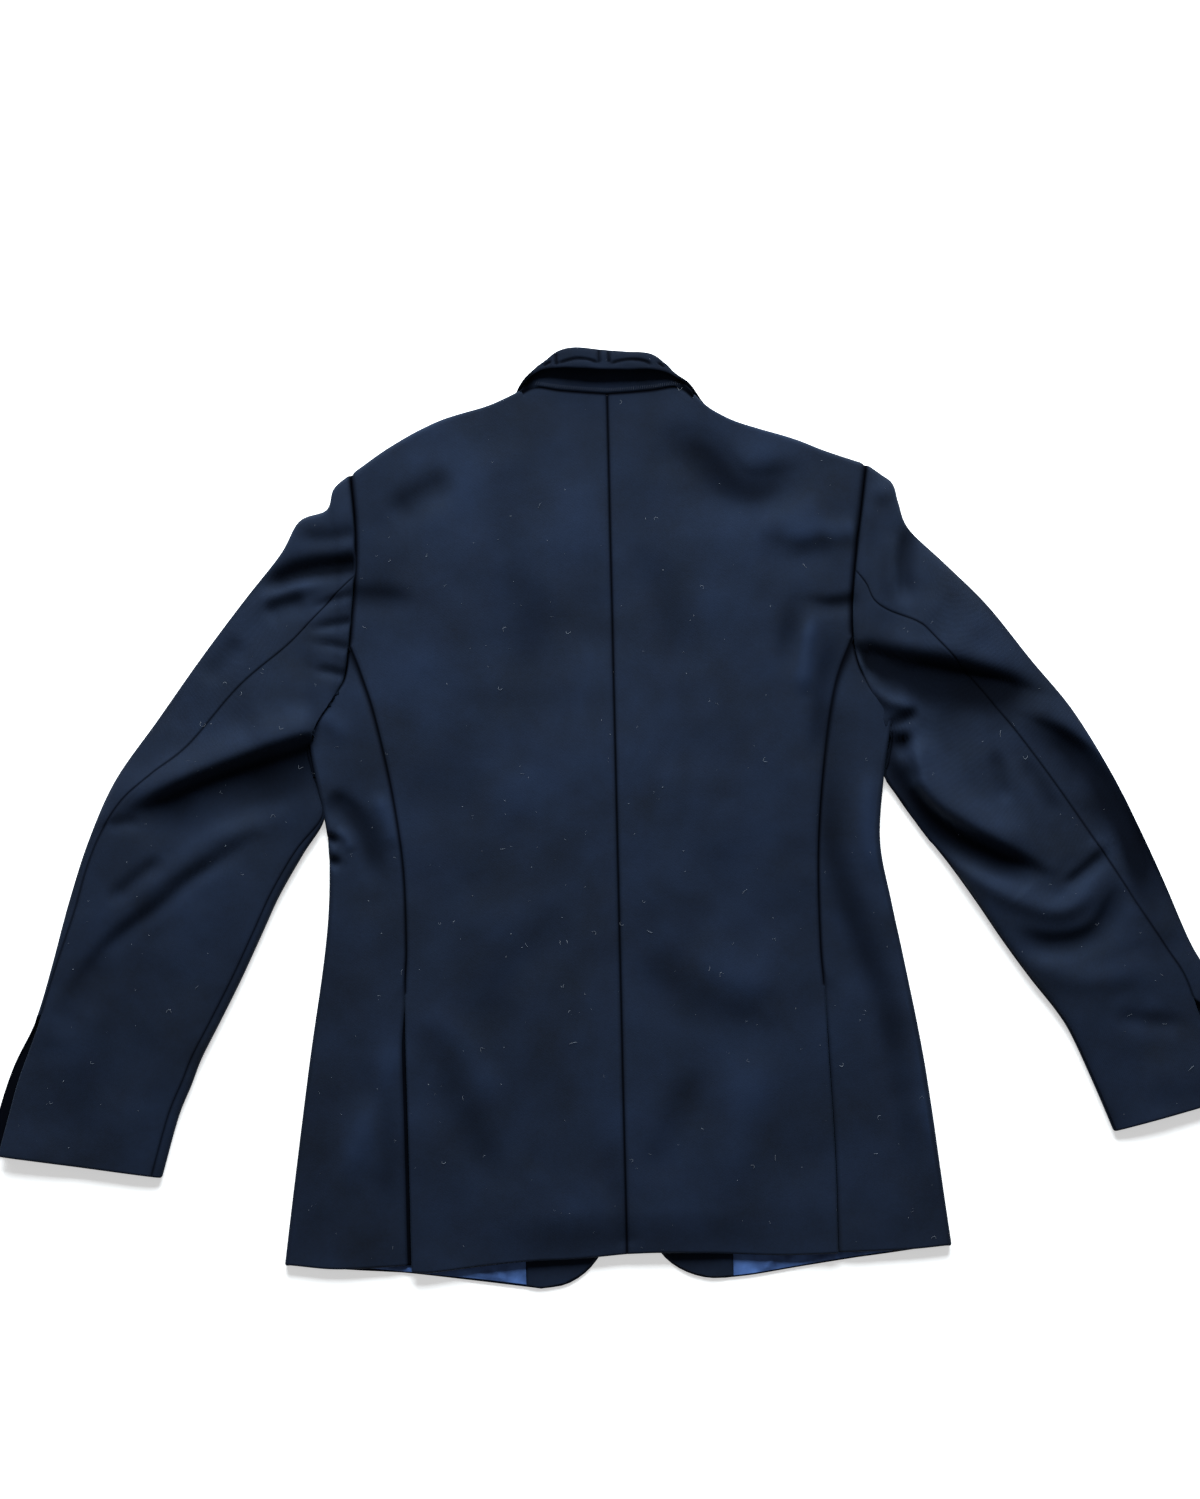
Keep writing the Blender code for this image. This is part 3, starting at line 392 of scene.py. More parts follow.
@dataclass
class Cloth:
    """One cut piece of cloth, from the grid of its outer face."""

    name: str
    points: Array                       # rows, columns, xyz in millimetres
    wall: Array | float
    edges: dict[str, Edge | Array]      # an Edge, or an array of edges by row or column
    flip: bool = False                  # the grid runs clockwise seen from outside
    keep: Array | None = None           # the quads that are part of the piece
    flat: Array | None = None           # where each point is on the flat cloth
    # painted shade of each point, laid over that of its edges; below 0 it is painted light
    shade: Array | None = None
    upward: bool = False                # its wall lies below it, even where its grid folds
    shell: dict[str, Array] = field(default_factory=dict)

    def build(self, material: bpy.types.Material) -> bpy.types.Object:
        """Make the closed shell of the piece.

        Args:
            material: the finish of the cloth.

        Returns:
            The new object, in the scene.
        """
        points, flat = self.points, self.flat
        if flat is None:
            flat = points[..., :2]
        shape = points.shape[:2]
        away = margins(points)
        dip, shade, push = np.zeros(shape), np.zeros(shape), np.zeros(shape)
        for side, kind in self.edges.items():
            kinds = np.full(shape[0], kind) if isinstance(kind, Edge) else kind
            kinds = kinds[:, None]
            for each in set(kinds.ravel().tolist()):
                here, gap = kinds == each, away[side]
                near = np.exp(-((gap / each.reach) ** 2)) * here
                dip = np.maximum(dip, near * each.dip)
                # painted shade along the seam or edge line
                line = np.exp(-((gap / each.line) ** 2)) * each.shade * here
                shade = np.maximum(shade, line)
                push = np.maximum(push, (gap < ON_EDGE) * here * each.push)
        if self.shade is not None:
            shade = shade + self.shade * (1 - shade)
        wall = np.broadcast_to(np.asarray(self.wall, float), shape)
        square = normals_of(points) * (-1.0 if self.flip else 1.0)
        if self.upward:
            square = square * np.where(square[..., 2:] < 0, -1.0, 1.0)
        outer = points - square * np.minimum(dip, wall - LEAST_WALL)[..., None]
        inner = points - square * wall[..., None]
        outer[..., 2], inner[..., 2] = np.maximum(outer[..., 2], 0), np.maximum(inner[..., 2], 0)
        self.shell = {"outer": outer, "normal": square}
        keep = np.ones((shape[0] - 1, shape[1] - 1), bool) if self.keep is None else self.keep
        if self.flip:
            outer, inner, square = outer[:, ::-1], inner[:, ::-1], square[:, ::-1]
            flat, shade, push = flat[:, ::-1], shade[:, ::-1], push[:, ::-1]
            keep = keep[:, ::-1]
        return self._mesh(outer, inner, square, flat, shade, push, keep, material)

    def _mesh(self, outer: Array, inner: Array, square: Array, flat: Array, shade: Array,
              push: Array, keep: Array, material: bpy.types.Material) -> bpy.types.Object:
        """Join the outer and the inner face with a rounded rim.

        Args:
            outer: the grid of the outer face.
            inner: the grid of the inner face.
            square: the outward directions.
            flat: where each point is on the flat cloth.
            shade: how much painted shade each point has; below 0, painted light.
            push: how far the middle of the rim bulges at each point.
            keep: the quads that are part of the piece.
            material: the finish of the cloth.

        Returns:
            The new object, in the scene.
        """
        rows, columns = outer.shape[:2]
        index = np.arange(rows * columns).reshape(rows, columns)
        quads = np.stack([index[:-1, :-1], index[:-1, 1:], index[1:, 1:], index[1:, :-1]],
                         axis=-1)[keep]
        size = rows * columns
        starts = quads.ravel()
        ends = np.roll(quads, -1, axis=1).ravel()
        border = ~np.isin(starts * size + ends, ends * size + starts)
        a, b = starts[border], ends[border]
        top, under = outer.reshape(-1, 3), inner.reshape(-1, 3)
        way = unit(np.cross(top[b] - top[a], square.reshape(-1, 3)[a]))
        out = np.zeros((size, 3))
        np.add.at(out, a, way)
        np.add.at(out, b, way)
        middle = (top + under) / 2 + unit(out) * push.reshape(-1, 1)
        middle[:, 2] = np.maximum(middle[:, 2], 0)
        used, rim = np.unique(quads), np.unique(a)
        number = np.full((3, size), -1)
        number[0, used] = np.arange(len(used))
        number[1, used] = len(used) + np.arange(len(used))
        number[2, rim] = 2 * len(used) + np.arange(len(rim))
        verts = np.vstack([top[used], under[used], middle[rim]])
        faces = np.vstack([
            number[0][quads], number[1][quads[:, ::-1]],
            np.stack([number[0][b], number[0][a], number[2][a], number[2][b]], axis=1),
            np.stack([number[2][b], number[2][a], number[1][a], number[1][b]], axis=1),
        ])
        uv = np.vstack([flat.reshape(-1, 2)[used]] * 2 + [flat.reshape(-1, 2)[rim]]) * MM
        # the painted shade and painted light of each vertex
        dark = np.concatenate([shade.ravel()[used]] * 2 + [shade.ravel()[rim]])
        piece = mesh_object(self.name + "_cloth", place(verts), faces, material)
        mesh = piece.data
        layer = mesh.uv_layers.new(name="cloth")
        corner = np.empty(len(mesh.loops), int)
        mesh.loops.foreach_get("vertex_index", corner)
        layer.data.foreach_set("uv", uv[corner].astype(np.float32).ravel())
        # The 'seam' attribute carries the painted shade and, below 0, the painted light of each
        # point, not only its seams.
        seam = mesh.attributes.new("seam", "FLOAT", "POINT")
        seam.data.foreach_set("value", dark.astype(np.float32))
        return piece


SLEEVE_PAINTED_SHADING, BODY_PAINTED_SHADING = 0.105, 0.125       # how strongly a fold's depth is painted into the cloth's colour as shade or light
# the most painted light on a ridge, and the most painted shade in a trough
PALEST, DARKEST = -0.3, 0.84


def painted_fold_shading(lift: Array, strength: float) -> Array:
    """Return the painted shade of a trough, or, below 0, the painted light on a ridge."""
    return np.clip(-strength * lift, PALEST, DARKEST)


def origin() -> Array:
    """Return where the nape seam's middle lies in the frame, in metres."""
    low, high = (np.array(corner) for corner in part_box("button_upper"))
    middle = (low + high) / 2
    x, y = BUTTONS["button_upper"]
    return np.array([middle[0] - x * MM, middle[1] - y * MM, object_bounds()[0][2]])


ORIGIN = origin()


def place(points: Array) -> Array:
    """Return plan points in millimetres as points of the frame in metres."""
    return np.asarray(points, float) * MM + ORIGIN


def mesh_object(name: str, verts: Array, faces: Array, material: bpy.types.Material
                ) -> bpy.types.Object:
    """Make an object with smooth faces and one material, in the scene."""
    mesh = bpy.data.meshes.new(name)
    mesh.from_pydata(verts.tolist(), [], [list(map(int, face)) for face in faces])
    mesh.polygons.foreach_set("use_smooth", np.ones(len(mesh.polygons), bool))
    mesh.materials.append(material)
    mesh.update()
    piece = bpy.data.objects.new(name, mesh)
    bpy.context.scene.collection.objects.link(piece)
    return piece


# ---------------------------------------------------------------- heights of the garment

WALL = 2.2
FOLD_SHAPE = 3.2        # how square a fold of the whole garment is: 2 is round
HALF_GAP = 0.01


@dataclass(frozen=True)
class Form:
    """How high the laid body stands over its plan, in millimetres."""

    height: float = 9.6
    pad_rise: float = 3.6
    pad_across: Point = (100.0, 200.0)
    pad_up: Point = (-250.0, -90.0)
    front_stack: float = 4.8
    lapel_lift: float = 2.8
    lapel_slope: Point = (40.0, 8.0)
    lapel_reach: Path = ((-470, -60), (-390, 18), (-118, 155), (10, 155))
    button_lift: float = 3.2
    button_plateau: Point = (95.0, 36.0)
    left_reach: Path = ((-716, -60), (-682, 2), (-622, 13), (-560, 20), (-430, 20),
                        (-400, 15), (-325, 6), (-285, -30))
    overlap_lift: float = 3.1
    overlap_slope: Point = (35.0, 6.0)
    crown: float = 4.7          # the fullness where the two fronts lie on each other
    crown_width: float = 122.0
    crown_foot: Point = (-742.0, -700.0)
    crown_head: Point = (-205.0, -300.0)
    blade: float = 2.6          # the fullness over a shoulder blade
    blade_size: Point = (62.0, 78.0)
    blade_place: Point = (104.0, -150.0)
    give: float = 1.2           # how softly a trough stops at what lies below
    relief: Relief = Relief(())

    def underlay(self, x: Array, y: Array) -> Array:
        """Return what lies under the fronts: lapels, collar ends and buttons.

        Args:
            x: plan coordinates across.
            y: plan coordinates up.

        Returns:
            Heights above the floor.
        """
        rows = np.array(self.lapel_reach, float)
        reach = np.interp(y, rows[:, 0], rows[:, 1])
        lift = self.lapel_lift * ramp(np.abs(x) - reach, *self.lapel_slope)
        for bx, by in BUTTONS.values():
            near = ramp(np.hypot(x - bx, y - by), *self.button_plateau)
            lift = np.maximum(lift, self.button_lift * near)
        return lift

    def overlap(self, x: Array, y: Array) -> Array:
        """Return how far the left front lifts the right one."""
        rows = np.array(self.left_reach, float)
        reach = np.interp(y, rows[:, 0], rows[:, 1])
        return self.overlap_lift * ramp(x - reach, *self.overlap_slope)

    def padding(self, x: Array, y: Array) -> Array:
        """Return what the shoulder pads add."""
        return self.pad_rise * ramp(np.abs(x), *self.pad_across) * ramp(y, *self.pad_up)

    def wall(self, x: Array, y: Array) -> Array:
        """Return how thick the cloth is, with its padding."""
        return WALL + self.padding(x, y) / 2

    def top(self, x: Array, y: Array, creased: bool = True) -> Array:
        """Return the height of the back's outer face.

        Args:
            x: plan coordinates across.
            y: plan coordinates up.
            creased: with its folds.

        Returns:
            Heights above the floor.
        """
        full = self.crown * np.exp(-((x / self.crown_width) ** 4)) \
            * ramp(y, *self.crown_foot) * ramp(y, *self.crown_head)
        bx, by = self.blade_place
        sx, sy = self.blade_size
        blades = self.blade * np.exp(-(((np.abs(x) - bx) / sx) ** 2) - ((y - by) / sy) ** 2)
        high = self.height + self.padding(x, y) + full + blades
        if creased:
            high = high + self.relief.lift(x, y)
        floor = self.underlay(x, y) + self.front_stack
        spare = high - floor
        return floor + (spare + np.sqrt(spare ** 2 + self.give ** 2)) / 2


@dataclass(frozen=True)
class HalfPlan:
    """The seams and the edges of one half of the body."""

    neck: Path
    shoulder: Path
    armhole: Path
    stations: Path
    back_seam: Path
    front_seam: Path
    side: Path
    back_hem: Path
    side_hem: Path
    under_hem: Path
    front_hem: Path
    front_edge: Path
    roll_line: Path


class Half(Enum):
    """The wearer's left half, at -X, and the right one."""

    LEFT = "left"
    RIGHT = "right"

    @property
    def sign(self) -> float:
        """Which way the half lies from the centre seam."""
        return -1.0 if self is Half.LEFT else 1.0


PLANS = {
    Half.LEFT: HalfPlan(
        neck=((0, -1.4), (-19, 0.2), (-41, 2.4), (-61, 5.6), (-74, 4.0)),
        shoulder=((-74, 4.0), (-88, -2.4), (-106, -9.6), (-143, -20.7), (-185, -41.0),
                  (-221, -64.5)),
        armhole=((-221, -64.5), (-218, -105), (-218, -137), (-219.8, -160), (-223, -190),
                 (-225.5, -212), (-231, -241), (-246, -256), (-259.6, -274.6)),
        stations=((-219.3, -151.1), (-225.5, -212), (-255.5, -266)),
        back_seam=((-184.3, -746), (-184.6, -630), (-185, -515), (-183, -470),
                   (-184, -405), (-191, -345), (-205, -275), (-216, -238), (-225.5, -212)),
        front_seam=((-205, -748), (-203, -630), (-198, -515), (-192, -440), (-190, -380),
                    (-196, -310), (-210, -250), (-225.5, -212)),
        side=((-293.5, -741), (-283.3, -669), (-268, -566), (-254, -481), (-248.3, -428),
              (-248.3, -378), (-255.8, -335), (-261.8, -296), (-259.6, -274.6)),
        back_hem=((-184.3, -749.5), (-165, -749.7), (-125, -745.5), (-83, -742.2),
                  (-43, -741.2), (0, -738)),
        side_hem=((-184.3, -744), (-245.6, -745.4), (-290, -741)),
        under_hem=((-205, -749.6), (-245.6, -746.5), (-290, -741)),
        front_hem=((-205, -749.6), (-184.8, -751.5), (-130, -759), (-86.4, -765.3),
                   (-74.4, -767.2)),
        front_edge=((-74.4, -767.2), (-53.8, -764.3), (-37.3, -755.2), (-24.9, -741.8),
                    (-12, -720), (2, -682), (13, -622), (20, -560), (20, -430),
                    (14, -400)),
        roll_line=((14, -400), (-58, -78), (-66, -50), (-74, 4.0)),
    ),
    Half.RIGHT: HalfPlan(
        neck=((0, -1.4), (19, -0.6), (39, 0.8), (61, 2.8), (75, -3.0)),
        shoulder=((75, -3.0), (84, -11.5), (94, -18.5), (109.6, -26.5), (130.4, -34.2),
                  (153, -41.5), (183, -52.5), (220, -66)),
        armhole=((220, -66), (215, -103), (209, -147), (205.5, -183), (205.3, -214),
                 (209.7, -236), (220.6, -257), (234, -270), (238.6, -278.1)),
        stations=((208, -156.5), (205.3, -214), (235.2, -272)),
        back_seam=((180.5, -740), (180, -659), (176, -560), (174.5, -515), (172, -475),
                   (172, -402), (178, -328), (189, -258), (205.3, -214)),
        front_seam=((196, -742), (192, -640), (184, -530), (178, -440), (176, -380),
                    (182, -310), (193, -250), (205.3, -214)),
        side=((278.5, -737), (271.7, -682), (258.6, -578), (243.5, -492), (233.5, -440),
              (225.2, -389), (230, -333), (236, -296), (238.6, -278.1)),
        back_hem=((180.5, -741.4), (136.4, -742), (100, -740.4), (74, -739), (28, -737.6),
                  (0, -738)),
        side_hem=((180.5, -740.8), (240.3, -740.2), (275, -738)),
        under_hem=((196, -746.6), (230, -743.2), (275, -738)),
        front_hem=((196, -746.6), (146.4, -753.5), (109, -759.1), (83.6, -761.5)),
        front_edge=((83.6, -761.5), (69, -761.1), (52.8, -756.5), (38.4, -748.1),
                    (28.4, -737.4), (14, -716), (0, -680), (-13, -622), (-20, -560),
                    (-20, -430), (-14, -400)),
        roll_line=((-14, -400), (58, -78), (67, -50), (75, -3.0)),
    ),
}

# The creases of the body: soft ones over the blades, short ones by the armholes,
# and broad ones low down
BODY_RELIEF = Relief((
    Fold(((36, -31), (81, -42), (115, -71), (149, -67), (178, -59)), -4.4, 12, 18),
    Fold(((120, -96), (150, -100), (190, -92)), 1.2, 16, 14),
    Fold(((138, -127), (171, -120), (211, -115)), 2.8, 12, 10, (0.4, 0.1)),
    Fold(((158, -178), (184, -182), (208, -180)), -3.6, 6, 9, (0.7, 0.0)),
    Fold(((156, -176), (146, -206), (140, -250)), -3.0, 9, 12, (0.5, 0.5)),
    Fold(((120, -118), (152, -130), (196, -124)), -3.0, 12, 17, (0.4, 0.2)),
    Fold(((60, -44), (120, -84), (176, -78)), -2.6, 16, 22, (0.4, 0.3)),
    Fold(((166, -192), (160, -224), (157, -267)), 3.4, 8, 7),
    Fold(((183, -206), (174, -260), (167, -330)), -3.8, 9, 12),
    Fold(((182, -290), (177, -350), (180, -410), (198, -470), (222, -540), (236, -600)),
         -4.2, 10, 15),
    Fold(((212, -322), (208, -380), (216, -430)), 2.2, 9, 8),
    Fold(((-134, -62), (-167, -78), (-196, -98)), -3.8, 12, 15),
    Fold(((-60, -34), (-112, -52), (-150, -84)), 1.2, 17, 17),
    Fold(((-218, -164), (-190, -166), (-162, -174)), -3.2, 9, 13, (0.0, 0.5)),
    Fold(((-244, -336), (-222, -354), (-207, -382), (-197, -424)), -4.8, 9, 12, (0.15, 0.4)),
    Fold(((-214, -338), (-203, -362), (-196, -392)), 2.2, 8, 8),
    Fold(((-250, -371), (-236, -379)), -5.0, 4, 5, (0.0, 0.5)),
    Fold(((-250, -391), (-234, -397)), -4.4, 4, 5, (0.0, 0.5)),
    Fold(((-240, -366), (-229, -374), (-224, -388)), 1.8, 5, 5),
    Fold(((-247, -268), (-231, -280), (-226, -298)), 1.4, 9, 9, (0.1, 0.5)),
    Fold(((-232, -428), (-226, -470), (-232, -520)), 1.0, 14, 14),
    Fold(((18, -466), (59, -509), (119, -532), (153, -525)), -2.6, 18, 22),
    Fold(((60, -460), (110, -492), (150, -490)), 2.2, 20, 16),
    Fold(((66, -574), (31, -625), (12, -684)), -2.2, 15, 18),
    Fold(((110, -560), (88, -628), (70, -700)), 2.0, 18, 18),
    Fold(((-50, -434), (-103, -484), (-130, -552)), -2.2, 18, 20),
    Fold(((-24, -640), (-14, -690), (-6, -736)), -1.8, 10, 10, (0.5, 0.1)),
    Fold(((-160, -560), (-148, -620), (-112, -690)), -2.2, 14, 18),
    Fold(((-172, -520), (-132, -545), (-100, -610)), 2.0, 16, 16),
    Fold(((25, -127), (58, -179), (74, -248)), -1.8, 16, 20),
    Fold(((-112, -141), (-79, -193), (-94, -261)), -1.8, 16, 20),
    Fold(((-40, -90), (-48, -190), (-30, -300)), 1.0, 24, 24),
    Fold(((-196, -530), (-222, -610), (-262, -690)), 2.0, 12, 14),
    Fold(((-232, -560), (-210, -640), (-216, -720)), -2.0, 11, 13),
    Fold(((216, -520), (232, -610), (246, -700)), -2.4, 10, 12),
    Fold(((236, -500), (252, -590), (266, -690)), 1.6, 9, 10),
    Ripple(11, 74, 1.2, (0.8, 1.0)),
    Ripple(12, 36, 0.62),
    Ripple(13, 17, 0.2),
))

# The edges of the vents, lifted off the underlaps of the side panels
VENT_LIFTS = {
    Half.LEFT: Fold(((-185, -512), (-184.6, -610), (-184.3, -760)), 2.3, 22, 20, (0.55, 0), 0.0),
    Half.RIGHT: Fold(((174.5, -515), (178.5, -610), (180.5, -755)), 1.0, 18, 18, (0.5, 0), 0.0),
}
HEM_TURN = Ripple(21, 48, 0.35)

# Troughs on the hidden undersides, which rise from the flat
UNDER_RELIEF = Relief((
    Fold(((-228, -300), (-180, -340), (-120, -352)), 1.7, 10, 14),
    Fold(((-250, -420), (-205, -455), (-150, -470)), 1.3, 12, 12),
    Fold(((-262, -560), (-215, -600), (-160, -612)), 1.2, 16, 14),
    Fold(((-90, -480), (-110, -580), (-96, -690)), 1.0, 18, 18),
    Fold(((-196, -110), (-150, -160), (-120, -230)), 1.4, 14, 12),
    Fold(((214, -296), (170, -330), (110, -338)), 1.6, 11, 13),
    Fold(((236, -470), (190, -500), (140, -505)), 1.2, 13, 13),
    Fold(((90, -500), (118, -600), (104, -700)), 1.0, 18, 16),
    Fold(((190, -120), (150, -170), (126, -240)), 1.3, 13, 13),
    Fold(((255, -600), (215, -640), (170, -650)), 1.1, 14, 14),
))


@dataclass
class Body:
    """One half of the body: its back, its side panel and its front."""

    form: Form
    half: Half
    middle: Point = (0.0, -380.0)
    shoulder_length: float = 165.0
    turn_left: float = 3.0              # degrees that a rolled piece stops short of its seam
    neck_dip: Point = (1.6, 0.7)        # the width of the dip and of its painted shade at the neck seam, and the dip's depth
    hem_band: Point = (-715.0, -740.0)
    under_crease: float = 1.9           # the most that a crease underneath stands up
    underlap: float = 28.0
    lap_shares: tuple[float, ...] = (1.0, 0.78, 0.58, 0.4, 0.25, 0.13, 0.06, 0.02)
    tuck: float = 3.4                   # how far the underlap lies below the back
    tuck_reach: float = 16.0
    tuck_share: float = 0.35            # the share of the tuck that the panel's edge takes
    vent_top: float = -512.0
    vent_start: Point = (14.0, -6.0)    # above and below its top, where the vent begins
    vent_spread: Point = (4.0, -50.0)   # and where its edges draw apart
    vent_open: dict[Half, float] = field(
        default_factory=lambda: {Half.LEFT: 4.2, Half.RIGHT: 1.2})
    side_wall: float = 0.6              # the share of its wall that the side's fold keeps
    side_shade: Point = (0.25, 0.9)     # painted shade on the side's fold as it turns down, from its top to the floor
    side_line: float = 1.7              # how wide the painted shade by the back seam is

    def __post_init__(self) -> None:
        """Work out the shared seams of the half."""
        self.plan = PLANS[self.half]
        arm = np.array(self.plan.armhole, float)
        self.shoulder_lean = unit(arm[0] - arm[1])
        self.underarm_lean = unit(arm[-1] - arm[-2])
        ends = [self.form.top(*end[:, None], creased=False)[0] / 2
                for end in (arm[0], arm[-1])]
        inset = arm.copy()
        inset[0] -= self.shoulder_lean * ends[0]
        inset[-1] -= self.underarm_lean * ends[1]
        self.armhole = smooth(inset)
        self.panel = share_of(self.armhole, self.plan.stations[1])

    def top(self, x: Array, y: Array) -> Array:
        """Return the height of the outer face, with the vent's edge standing up."""
        return self.form.top(x, y) + VENT_LIFTS[self.half].lift(x, y)

    def arm(self, start: float, end: float, shares: Array) -> Array:
        """Return points of the armhole between two shares of it."""
        run = resample(self.armhole, start + (end - start) * np.linspace(0, 1, 160))
        return resample(run, shares)

    def shoulder_leans(self, shares: Array) -> Array:
        """Return the shoulder fold's outward directions at shares towards the armhole.

        Args:
            shares: shares of the shoulder, from the neck.

        Returns:
            Directions of length one on the plan.
        """
        first, last = (np.array(self.plan.shoulder[k], float) for k in (0, -1))
        run = last - first
        square = unit(np.array([run[1], -run[0]]))
        square = square if square[1] > 0 else -square
        return unit(square + (self.shoulder_lean - square) * shares[:, None] ** 2)

    def shoulder_middles(self, shares: Array) -> Array:
        """Return the points that the shoulder fold turns about.

        Args:
            shares: shares of the shoulder, from the neck.

        Returns:
            Plan points.
        """
        line = resample(smooth(self.plan.shoulder), shares)
        x, y = line.T
        space = self.form.top(x, y, creased=False) - self.form.underlay(x, y)
        middles = line - self.shoulder_leans(shares) * space[:, None] / 2
        blend = ramp(shares, 0.8, 1.0)[:, None]
        return middles * (1 - blend) + (self.armhole[0] + middles - middles[-1]) * blend

    def roll(self, middles: Array, leans: Array, angles: Array, low: Array, high: Array
             ) -> Array:
        """Turn a line of cloth over a fold.

        Args:
            middles: plan points that the fold turns about.
            leans: the outward directions on the plan.
            angles: the angles above the floor of each new row.
            low: the height of the lower face at each point.
            high: the height of the upper face.

        Returns:
            One row of points for each angle.
        """
        radius, centre = (high - low) / 2, (high + low) / 2
        out = np.cos(angles[:, None]) ** (2 / FOLD_SHAPE)
        up = np.sign(angles[:, None]) * np.abs(np.sin(angles[:, None])) ** (2 / FOLD_SHAPE)
        x = middles[:, 0] + leans[:, 0] * out * radius
        y = middles[:, 1] + leans[:, 1] * out * radius
        return np.stack([x, y, centre + up * radius], axis=-1)

    def top_edge(self, step: float) -> tuple[Array, Array, int]:
        """Return the neck and shoulder line, the shares of its points and its corner.

        Args:
            step: the spacing of its points.

        Returns:
            The points, their shares of the line, and the number of the corner point.
        """
        middle = self.shoulder_middles(np.array([0.0]))[0]
        neck = smooth((*self.plan.neck[:-1], tuple(middle)))
        neck_length = travelled(neck)[-1]
        total = neck_length + self.shoulder_length
        a = spaced(neck_length, step)
        b = spaced(self.shoulder_length, step)
        line = np.vstack([resample(neck, a)[:-1], self.shoulder_middles(b)])
        shares = np.concatenate([a[:-1] * neck_length / total,
                                 (neck_length + b * self.shoulder_length) / total])
        return line, shares, len(a) - 1

    def flank(self, seam: Path, start: float) -> Array:
        """Return a long seam up to the armhole, and on round it to the shoulder.

        Args:
            seam: the seam on the plan.
            start: the height on the plan that it is to start at.

        Returns:
            The points of the line.
        """
        run = smooth(seam)
        run[:, 1] = start + (run[:, 1] - run[0, 1]) * (run[-1, 1] - start) \
            / (run[-1, 1] - run[0, 1])
        return np.vstack([run, self.arm(self.panel, 0.0, np.linspace(0, 1, 80))[1:]])

    def back(self, step: float = 2.7) -> Cloth:
        """Cut the back: from the hem to the neck, and over the shoulder fold to its seam.

        Args:
            step: the spacing of its grid.

        Returns:
            The piece.
        """
        plan, sign = self.plan, self.half.sign
        top, u, corner = self.top_edge(step)
        hem_y = plan.back_hem[0][1]
        flank_run = draw_in(self.flank(plan.back_seam, hem_y), self.middle, HALF_GAP)
        v = spaced(740.0, step)
        flank, hem = resample(flank_run, v), resample(smooth(plan.back_hem)[::-1], u)
        centre = np.stack([np.full(len(v), sign * HALF_GAP),
                           plan.back_hem[-1][1] + (top[0, 1] - plan.back_hem[-1][1]) * v], 1)
        top[0], hem[0], hem[-1] = centre[-1], centre[0], flank[0]
        top[-1] = flank[-1]
        grid = patch(hem, top, centre, flank, u, v)
        x, y = grid[..., 0], grid[..., 1]
        z = self.top(x, y) + HEM_TURN.lift(x, y) * ramp(y, *self.hem_band)
        points = np.dstack([grid, z])
        b = (u[corner:] - u[corner]) / (1 - u[corner])
        leans = np.vstack([np.repeat(self.shoulder_leans(b[:1]), corner, 0),
                           self.shoulder_leans(b)])
        angles = np.linspace(math.pi / 2, math.radians(self.turn_left), 9)[1:]
        low = self.form.underlay(x[-1], y[-1])
        points = np.concatenate([points, self.roll(grid[-1], leans, angles, low, z[-1])])
        keep = np.ones((len(points) - 1, len(u) - 1), bool)
        keep[len(v) - 1:, :corner] = False
        arm = np.full(len(points), Edge.ARMHOLE)
        arm[:len(v)][flank[:, 1] < plan.back_seam[-1][1]] = Edge.SEWN
        arm[:len(v)][flank[:, 1] < self.vent_top] = Edge.TURNED
        wall = self.form.wall(points[..., 0], points[..., 1])
        cloth = Cloth(f"back_{self.half.value}", points, wall,
                      {"left": Edge.SEWN, "right": arm, "bottom": Edge.TURNED},
                      flip=sign < 0, keep=keep)
        neck = np.linalg.norm(points[:len(v)] - points[len(v) - 1], axis=2)
        # Painted shade along the neck seam, and painted shade in troughs with painted light on
        # ridges
        dark = np.zeros(points.shape[:2])
        dark[:len(v), :corner] = np.exp(-((neck[:, :corner] / self.neck_dip[0]) ** 2))
        relief = self.form.relief.lift(points[..., 0], points[..., 1])
        cloth.shade = dark + painted_fold_shading(relief, BODY_PAINTED_SHADING) * (1 - dark)
        points[..., 2] -= self.neck_dip[1] * dark
        return cloth

    def front(self, step: float = 7.0) -> Cloth:
        """Cut the front: from the cutaway hem to the roll line and over the shoulder.

        Args:
            step: the spacing of its grid.

        Returns:
            The piece.
        """
        plan, sign = self.plan, self.half.sign
        u, v = spaced(190.0, step), spaced(760.0, step)
        flank_run = draw_in(self.flank(plan.front_seam, plan.front_hem[0][1]), self.middle,
                            HALF_GAP)
        flank = resample(flank_run, v)
        edge, roll = smooth(plan.front_edge), smooth(plan.roll_line)
        top = self.shoulder_middles(u)
        opening = resample(np.vstack([edge, roll[1:-4], top[:1]]), v)
        hem = resample(smooth(plan.front_hem)[::-1], u)
        hem[0], hem[-1], opening[-1], top[-1] = opening[0], flank[0], top[0], flank[-1]
        grid = patch(hem, top, opening, flank, u, v)
        x, y = grid[..., 0], grid[..., 1]
        low = self.form.underlay(x, y)
        if self.half is Half.RIGHT:
            low = low + self.form.overlap(x, y)
        inner = ramp(np.minimum(np.abs(x), 262 - np.abs(x)), 0, 40)
        creases = UNDER_RELIEF.lift(x, y) * inner * ramp(low, 1.2, 0.0)
        points = np.dstack([grid, low + np.minimum(creases, self.under_crease)])
        angles = -np.linspace(math.pi / 2, math.radians(self.turn_left), 7)[1:]
        high = self.top(x[-1], y[-1])
        points = np.concatenate([points, self.roll(grid[-1], self.shoulder_leans(u), angles,
                                                   self.form.underlay(x[-1], y[-1]), high)])
        arm = np.full(len(points), Edge.ARMHOLE)
        arm[:len(v)][flank[:, 1] < plan.front_seam[-1][1]] = Edge.SEWN
        wall = self.form.wall(points[..., 0], points[..., 1])
        return Cloth(f"front_{self.half.value}", points, wall,
                     {"left": Edge.TURNED, "right": arm, "bottom": Edge.TURNED},
                     flip=sign > 0)

